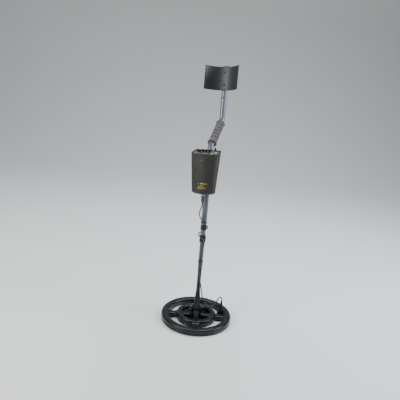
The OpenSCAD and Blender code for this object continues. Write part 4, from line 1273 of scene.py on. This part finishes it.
class DETECTOR_OT_cover(bpy.types.Operator):
    """Adds the box's leatherette cover with its piping, seams, stitches and marks"""
    bl_idname = "detector.cover"
    bl_label = "Box cover"

    FRONT_FROM = -40
    # Where each crease lies on the front, how high it stands, its slope, half width and length
    CREASES = (
        (-16, 118, 0.9, 0.5, 2.4, 22), (-24, 100, 0.8, 0.75, 2.0, 17),
        (-4, 128, 0.7, 0.15, 2.2, 18), (-30, 76, 0.7, 0.9, 2.2, 15),
        (12, 112, 0.55, -0.5, 2.4, 16), (-10, 84, 0.5, 0.35, 2.0, 14),
        (24, 60, 0.5, -0.8, 2.6, 18), (-18, 44, 0.45, 0.6, 2.4, 16))
    # Each foil bar on the front: from x to x, and from height to height
    BARS = ((-13, -9, 39, 43), (-2, 25, 39, 44), (-3, 15, 32, 34), (-15, 22, 26.5, 28.5),
            (-12, 20, 21, 23.5))

    def execute(self, context):
        self.columns = len(cover_outline(100, 60))
        self.rims = [rim_height(column) for column in range(self.columns)]
        self.inner_rims = [rim_height(column, COVER_T) for column in range(self.columns)]
        self.shell()
        self.stitches()
        self.marks()
        return {"FINISHED"}

    def relief(self, column, height):
        """How far the wall stands out at a place: seams, creases and a soft waviness."""
        spot, out = cover_spot(column, height)
        place = Vector((spot.x, spot.y, height))
        wave = 0.3 * noise.noise(place / 16) + 0.12 * noise.noise(place / 5)
        seam = 0.0
        for corner in (SEAM_COLUMN, self.columns - SEAM_COLUMN):
            away = abs(column - corner)
            seam -= 0.55 * math.exp(-(away / 0.55) ** 2) * smoothstep(8, 20, height)
        deep = sizes().crease / MM
        fold = 0.0
        for (x, z, run, lean, wide, long) in self.CREASES:
            if spot.y < self.FRONT_FROM:
                gx, gz = spot.x - x, height - z
                across = gx * math.sin(lean) - gz * math.cos(lean)
                length = gx * math.cos(lean) + gz * math.sin(lean)
                run *= deep
                fold += run * math.exp(-(across / wide) ** 2 - (length / long) ** 2)
                beside = (across + wide * 1.5) / wide
                fold -= 0.6 * run * math.exp(-beside ** 2 - (length / long) ** 2)
        foot = smoothstep(0, 14, height)
        rim = smoothstep(3.5, 9, self.rims[column] - height)
        return (wave + fold) * foot * rim + seam * rim

    def shell(self):
        """Outer wall up, rolled piping, inner wall down."""
        rows = [("foot", i / 8, 0.0) for i in range(9)]
        rows += [("wall", i / COVER_ROWS, 0.0) for i in range(1, COVER_ROWS)]
        rows += [("rim", i / 10, 0.0) for i in range(11)]
        rows += [("inner", 1 - i / 12, COVER_T) for i in range(1, 13)]
        rows += [("foot", i / 6, COVER_T) for i in reversed(range(7))]
        pipe = sizes().piping / MM

        def spot(row, column):
            kind, value, inset = rows[row]
            if kind == "foot":
                angle = math.pi / 2 * value
                height = FOOT_ROUND_Y * (1 - math.cos(angle)) + inset
                in_x, in_y = [r * (1 - math.sin(angle)) for r in (FOOT_ROUND_X, FOOT_ROUND_Y)]
                wide, deep = box_size(height, inset)
                place = Vector(cover_outline(wide - 2 * in_x, deep - 2 * in_y)[column])
                place.y += BOX_BACK - inset - in_y
            elif kind == "wall":
                top = self.rims[column] - 2.6
                height = FOOT_ROUND_Y + (top - FOOT_ROUND_Y) * value
                place, out = cover_spot(column, height)
                place += out * self.relief(column, height)
            elif kind == "rim":
                top = self.rims[column] - pipe
                angle = -0.6 + (math.pi + 0.6) * value
                place, out = cover_spot(column, top)
                place += out * (-pipe * 0.95 + 1.25 * pipe * math.cos(angle) + 0.35)
                height = top + pipe * math.sin(angle)
            else:
                top = self.inner_rims[column] - 3.4
                low = FOOT_ROUND_Y + inset + 0.2
                height = low + (top - low) * value
                place, _ = cover_spot(column, height, inset)
            return (place.x * MM, place.y * MM, (BOX_FROM + height) * MM)
        shell = skin(len(rows) - 1, self.columns, spot)
        holes = [block((-11.5 * MM, -22 * MM, (BOX_FROM + middle - 8.5) * MM),
                       (11.5 * MM, -8 * MM, (BOX_FROM + middle + 8.5) * MM), 0.4 * MM)
                 for middle in (26, 122)]
        hole = spun([(0, 0.45), (8.3 * MM, 0.45), (8.3 * MM, 0.475), (0, 0.475)], 48)
        holes.append(placed(hole, Matrix.Translation((0, -36 * MM, 0))))
        cutter = joined(holes)
        cut = shell.modifiers.new("openings", "BOOLEAN")
        cut.operation = "DIFFERENCE"
        cut.solver = "EXACT"
        cut.object = cutter
        activate(shell)
        bpy.ops.object.modifier_apply(modifier=cut.name)
        activate(cutter)
        bpy.ops.object.delete()
        done(placed(shell, UPPER), "box_cover_shell", "leatherette", "upper_stem",
             ["box_cover"], 42)

    def stitches(self):
        """Thread stitches down both sides of the two front seams and under the piping."""
        spots = []
        gap = sizes().stitch_gap / MM
        for corner in (SEAM_COLUMN, self.columns - SEAM_COLUMN):
            for side in (-1, 1):
                height = 14.0
                while height < self.rims[corner] - 6:
                    place, out = cover_spot(corner + side, height)
                    place = place.lerp(cover_spot(corner, height)[0], 0.35)
                    spots.append((Vector((*place, height)), Vector((*out, 0)), Vector((0, 0, 1))))
                    height += gap
        for column in range(12, self.columns - 11):
            ends = []
            for near in (column % self.columns, (column + 1) % self.columns):
                height = self.rims[near] - 5
                ends.append(Vector((*cover_spot(near, height)[0], height)))
            first, second = ends
            count = max(1, round((second - first).length / gap))
            _, out = cover_spot(column, self.rims[column] - 5)
            spots += [(first.lerp(second, k / count), Vector((*out, 0)), second - first)
                      for k in range(count)]
        stitch = turned([(0, -1.15, 0), (0.3, -0.95, 0.1), (0.36, 0, 0.2), (0.3, 0.95, 0.1),
                         (0, 1.15, 0)], 6, 1)
        long = sizes().stitch / (2.3 * MM)
        thread = []
        for place, out, run in spots:
            place = place + Vector((0, 0, BOX_FROM)) + out * 0.12
            stand = axes(place * MM, run, out)
            thread.append(copied(stitch, stand @ Matrix.Diagonal((1, 1, long, 1))))
        activate(stitch)
        bpy.ops.object.delete()
        done(placed(joined(thread), UPPER), "cover_stitching", "thread", "upper_stem", (), 60)

    def marks(self):
        """Plain foil bars, low on the front."""
        bars = []
        for low, high, foot, head in self.BARS:
            bar = block((low, foot, -0.3), (high, head, 0.16), 0.12, 2)
            bpy.ops.object.mode_set(mode="EDIT")
            bpy.ops.mesh.select_all(action="SELECT")
            bpy.ops.mesh.subdivide(number_cuts=5)
            bpy.ops.object.mode_set(mode="OBJECT")
            for vertex in bar.data.vertices:
                vertex.co = self.on_front(*vertex.co)
            bars.append(cleaned(bar))
        done(placed(joined(bars), UPPER), "cover_marks", "gold_foil", "upper_stem")

    def on_front(self, x, height, lift):
        """A point of the bowed front, in metres."""
        wide, deep = box_size(height)
        _, bow_r = front_bow(wide, BOX_CORNER)
        down = -deep + bow_r - math.sqrt(bow_r ** 2 - x ** 2)
        stands = self.front_relief(x, height)
        return (x * MM, (down + BOX_BACK - lift - stands) * MM, (BOX_FROM + height) * MM)

    def front_relief(self, x, height):
        """The front's relief between the two columns nearest to a place."""
        near = sorted(range(32, self.columns - 31),
                      key=lambda c: abs(cover_spot(c, height)[0].x - x))[:2]
        first, second = [(cover_spot(c, height)[0].x, self.relief(c, height)) for c in near]
        t = (x - first[0]) / (second[0] - first[0]) if second[0] != first[0] else 0
        return first[1] + (second[1] - first[1]) * max(-0.5, min(t, 1.5))


# ---------- control panel ----------

class DETECTOR_OT_panel(bpy.types.Operator):
    """Adds the control panel, its knobs, lever, meter, socket and marks"""
    bl_idname = "detector.panel"
    bl_label = "Control panel"

    def execute(self, context):
        for node, name, edge in (
                ("control_panel", "control_panel_face", 0.3),
                ("box_clamps", "box_clamp_bands", 0.5), ("clamp_screws", "clamp_screw_heads", 0.2),
                ("panel_screws", "panel_screw_heads", 0.2), ("power_switch", "lever_bushing", 0.25),
                ("headphone_socket", "headphone_jack", 0.2), ("meter_lens", "meter_window", 0.4),
                ("meter_needle", "meter_pointer", 0), ("coil_socket", "coil_socket_shell", 0.2),
                ("battery_test_button", "test_button", 0.6)):
            body = node if node in ("meter_needle", "battery_test_button") else "upper_stem"
            done(smooth_copy(node, edge=edge * MM), name, record_slot(node), body, [node])
        for node, x, radius, flutes in (
                ("tuning_knob", -33, 7.5, 26), ("sensitivity_knob", -17, 5.5, 20),
                ("discrimination_knob", -3, 5.5, 20), ("volume_knob", 11, 5.5, 20)):
            self.knob(node, x, radius, flutes)
        self.lever()
        self.meter_face()
        self.panel_marks()
        return {"FINISHED"}

    def on_panel(self, x, y, z=0.0):
        return PANEL @ Matrix.Translation((x * MM, y * MM, z * MM))

    def knob(self, node, x, radius, flutes):
        rows = [(0, 2.8, 0), (3.2, 2.8, 0), (3.2, 0.3, 0), (radius - 0.7, 0.3, 0),
                (radius - 0.1, 0.6, 0),
                (radius, 1.1, 0), (radius, 2.0, 0), (radius - 0.5, 2.5, 0),
                (radius - 0.5, 2.8, 0.3),
                (radius - 0.3, 3.4, 1), (radius - 0.5, 8.8, 1), (radius - 0.8, 9.5, 0.6),
                (radius - 1.3, 9.95, 0.1), (radius - 1.9, 10.1, 0), (radius - 2.2, 10.05, 0),
                (radius - 2.4, 9.8, 0), (0, 9.8, 0)]
        columns = flutes * 6

        def spot(row, column):
            reach, height, flute = rows[row]
            angle = TAU * column / columns
            reach -= 0.5 * flute * (0.5 - 0.5 * math.cos(flutes * angle))
            return (reach * math.cos(angle) * MM, reach * math.sin(angle) * MM, height * MM)
        done(placed(skin(len(rows) - 1, columns, spot), self.on_panel(x, 15)),
             node + "_fluted", "knob_plastic", node, [node], 32)
        cap = turned([(0, 9.7, 0), (radius - 2.5, 9.7, 0), (radius - 2.5, 10.2, 0.3),
                      (radius - 3.1, 10.35, 0.2), (0, 10.2, 0)], 48, 3)
        done(placed(cap, self.on_panel(x, 15)), node + "_cap",
             "cap_metal" if radius > 6 else "knob_plastic", node)
        line = bevelled((-0.35, radius - 3.3, 9.9), (0.35, radius - 0.95, 10.28), 0.1, 2)
        done(placed(line, self.on_panel(x, 15)), node + "_line", "white_print", node)

    def lever(self):
        bat = turned([(0, -1, 0), (1.1, -0.8, 0.4), (1.3, 4, 0.4), (2, 5.2, 0.6), (3.1, 7.5, 1),
                      (3.6, 10.5, 2),
                      (3.6, 17, 1.6), (2.6, 19, 1.2), (0, 19, 0)], 40, 5)
        pin = placed(turned([(0, -4, 0), (1, -4, 0.2), (1, 4, 0.2), (0, 4, 0)], 20), ACROSS)
        place = self.on_panel(36, 12) @ Matrix.Rotation(math.radians(-12), 4, "X")
        done(placed(joined([bat, pin]), place), "power_lever_bat", "knob_plastic", "power_lever",
             ["power_lever"], 35)

    def meter_face(self):
        """The meter's card with its scale, its bezel, and the meter's case."""
        done(smooth_copy("meter_body", edge=0.3 * MM), "meter_case", "black_plastic", "upper_stem",
             ["meter_body"])
        card = bevelled((-14.2, -7.3, -10.9), (14.2, 7.3, -10.2), 0.15, 2)
        done(placed(card, self.on_panel(0, -12)), "meter_scale_card", "meter_card", "upper_stem")
        ticks = []
        for i in range(11):
            angle = math.radians(-40 + 80 * i / 10)
            end = 11.2 if i % 5 == 0 else 10.3
            tick = bevelled((-0.2, 9.2, -10.3), (0.2, end, -10.12), 0.05, 1)
            ticks.append(placed(tick, Matrix.Rotation(angle, 4, "Z")))
        done(placed(joined(ticks), self.on_panel(0, -17)), "meter_scale", "black_plastic",
             "upper_stem")
        rim = []
        for low, high in (((-16.6, -9.6), (16.6, -7.6)), ((-16.6, 7.6), (16.6, 9.6)),
                          ((-16.6, -9.6), (-14.6, 9.6)), ((14.6, -9.6), (16.6, 9.6))):
            rim.append(bevelled((*low, 0.02), (*high, 2.5), 0.35))
        done(placed(joined(rim), self.on_panel(0, -12)), "meter_bezel", "black_plastic",
             "upper_stem")

    def panel_marks(self):
        """Foil scales round the knobs, a line at each control, and a slanted strip."""
        marks = []
        for x, radius, count in ((-33, 7.5, 15), (-17, 5.5, 11), (-3, 5.5, 11), (11, 5.5, 11)):
            for i in range(count):
                angle = math.radians(-140 + 280 * i / (count - 1))
                tall = 1.8 if i % 2 == 0 else 1.2
                tick = bevelled((-0.28, radius + 0.9, -0.05),
                                (0.28, radius + 0.9 + tall, 0.12), 0.04, 1)
                marks.append(placed(tick, Matrix.Translation((x * MM, 15 * MM, 0))
                                    @ Matrix.Rotation(angle, 4, "Z")))
        for x, y, wide in ((-33, 1.5, 9), (-17, 3.6, 8), (-3, 3.6, 8), (11, 3.6, 8), (26, 19.5, 7),
                           (31, -3.2, 8), (-32, -3.2, 7), (-32, -20.4, 9)):
            marks.append(bevelled((x - wide / 2, y - 0.5, -0.05),
                                  (x + wide / 2, y + 0.5, 0.12), 0.05, 1))
        strip = bevelled((-1.3, -7.5, -0.05), (1.3, 7.5, 0.15), 0.05, 1)
        marks.append(placed(strip, Matrix.Translation((44.5 * MM, 14 * MM, 0))
                            @ Matrix.Rotation(math.radians(-14), 4, "Z")))
        ring = turned([(6.2, -0.05, 0), (7, -0.05, 0), (7, 0.14, 0), (6.2, 0.14, 0)], 48)
        marks.append(placed(ring, Matrix.Translation((36 * MM, 12 * MM, 0))))
        done(placed(joined(marks), PANEL), "panel_markings", "gold_foil", "upper_stem")


# ---------- pieces kept from the CAD frame ----------

class DETECTOR_OT_insides(bpy.types.Operator):
    """Gives every piece that is kept from the CAD frame its finish"""
    bl_idname = "detector.insides"
    bl_label = "Inside pieces"

    def execute(self, context):
        for node, obj in NODES.items():
            finish = finish_of(record_slot(node))
            if not obj.data.materials:
                obj.data.materials.append(finish)
            for i in range(len(obj.data.materials)):
                obj.data.materials[i] = finish
        return {"FINISHED"}


# ---------- sidebar ----------

OPERATORS = (
    DETECTOR_OT_stage, DETECTOR_OT_insides, DETECTOR_OT_cable, DETECTOR_OT_coil, DETECTOR_OT_pivot,
    DETECTOR_OT_stem, DETECTOR_OT_grip, DETECTOR_OT_armrest, DETECTOR_OT_cover, DETECTOR_OT_panel,
)


class DETECTOR_PT_sidebar(bpy.types.Panel):
    """The detector's pieces, sizes and colours"""
    bl_idname = "DETECTOR_PT_sidebar"
    bl_label = "Metal detector"
    bl_space_type = "VIEW_3D"
    bl_region_type = "UI"
    bl_category = "Detector"

    def draw(self, context):
        for operator in OPERATORS:
            self.layout.operator(operator.bl_idname)
        for group in (context.scene.detector_sizes, context.scene.detector_colours):
            column = self.layout.column(align=True)
            for name in group.__annotations__:
                column.prop(group, name)


CLASSES = (DetectorSizes, DetectorColours, *OPERATORS, DETECTOR_PT_sidebar)


def register():
    for group in CLASSES:
        bpy.utils.register_class(group)
    bpy.types.Scene.detector_sizes = bpy.props.PointerProperty(type=DetectorSizes)
    bpy.types.Scene.detector_colours = bpy.props.PointerProperty(type=DetectorColours)


def unregister():
    del bpy.types.Scene.detector_sizes
    del bpy.types.Scene.detector_colours
    for group in reversed(CLASSES):
        bpy.utils.unregister_class(group)


def main():
    register()
    bpy.ops.detector.stage()
    bpy.ops.detector.insides()
    bpy.ops.detector.cable()
    bpy.ops.detector.coil()
    bpy.ops.detector.pivot()
    bpy.ops.detector.stem()
    bpy.ops.detector.grip()
    bpy.ops.detector.armrest()
    bpy.ops.detector.cover()
    bpy.ops.detector.panel()


if __name__ == "__main__":
    main()
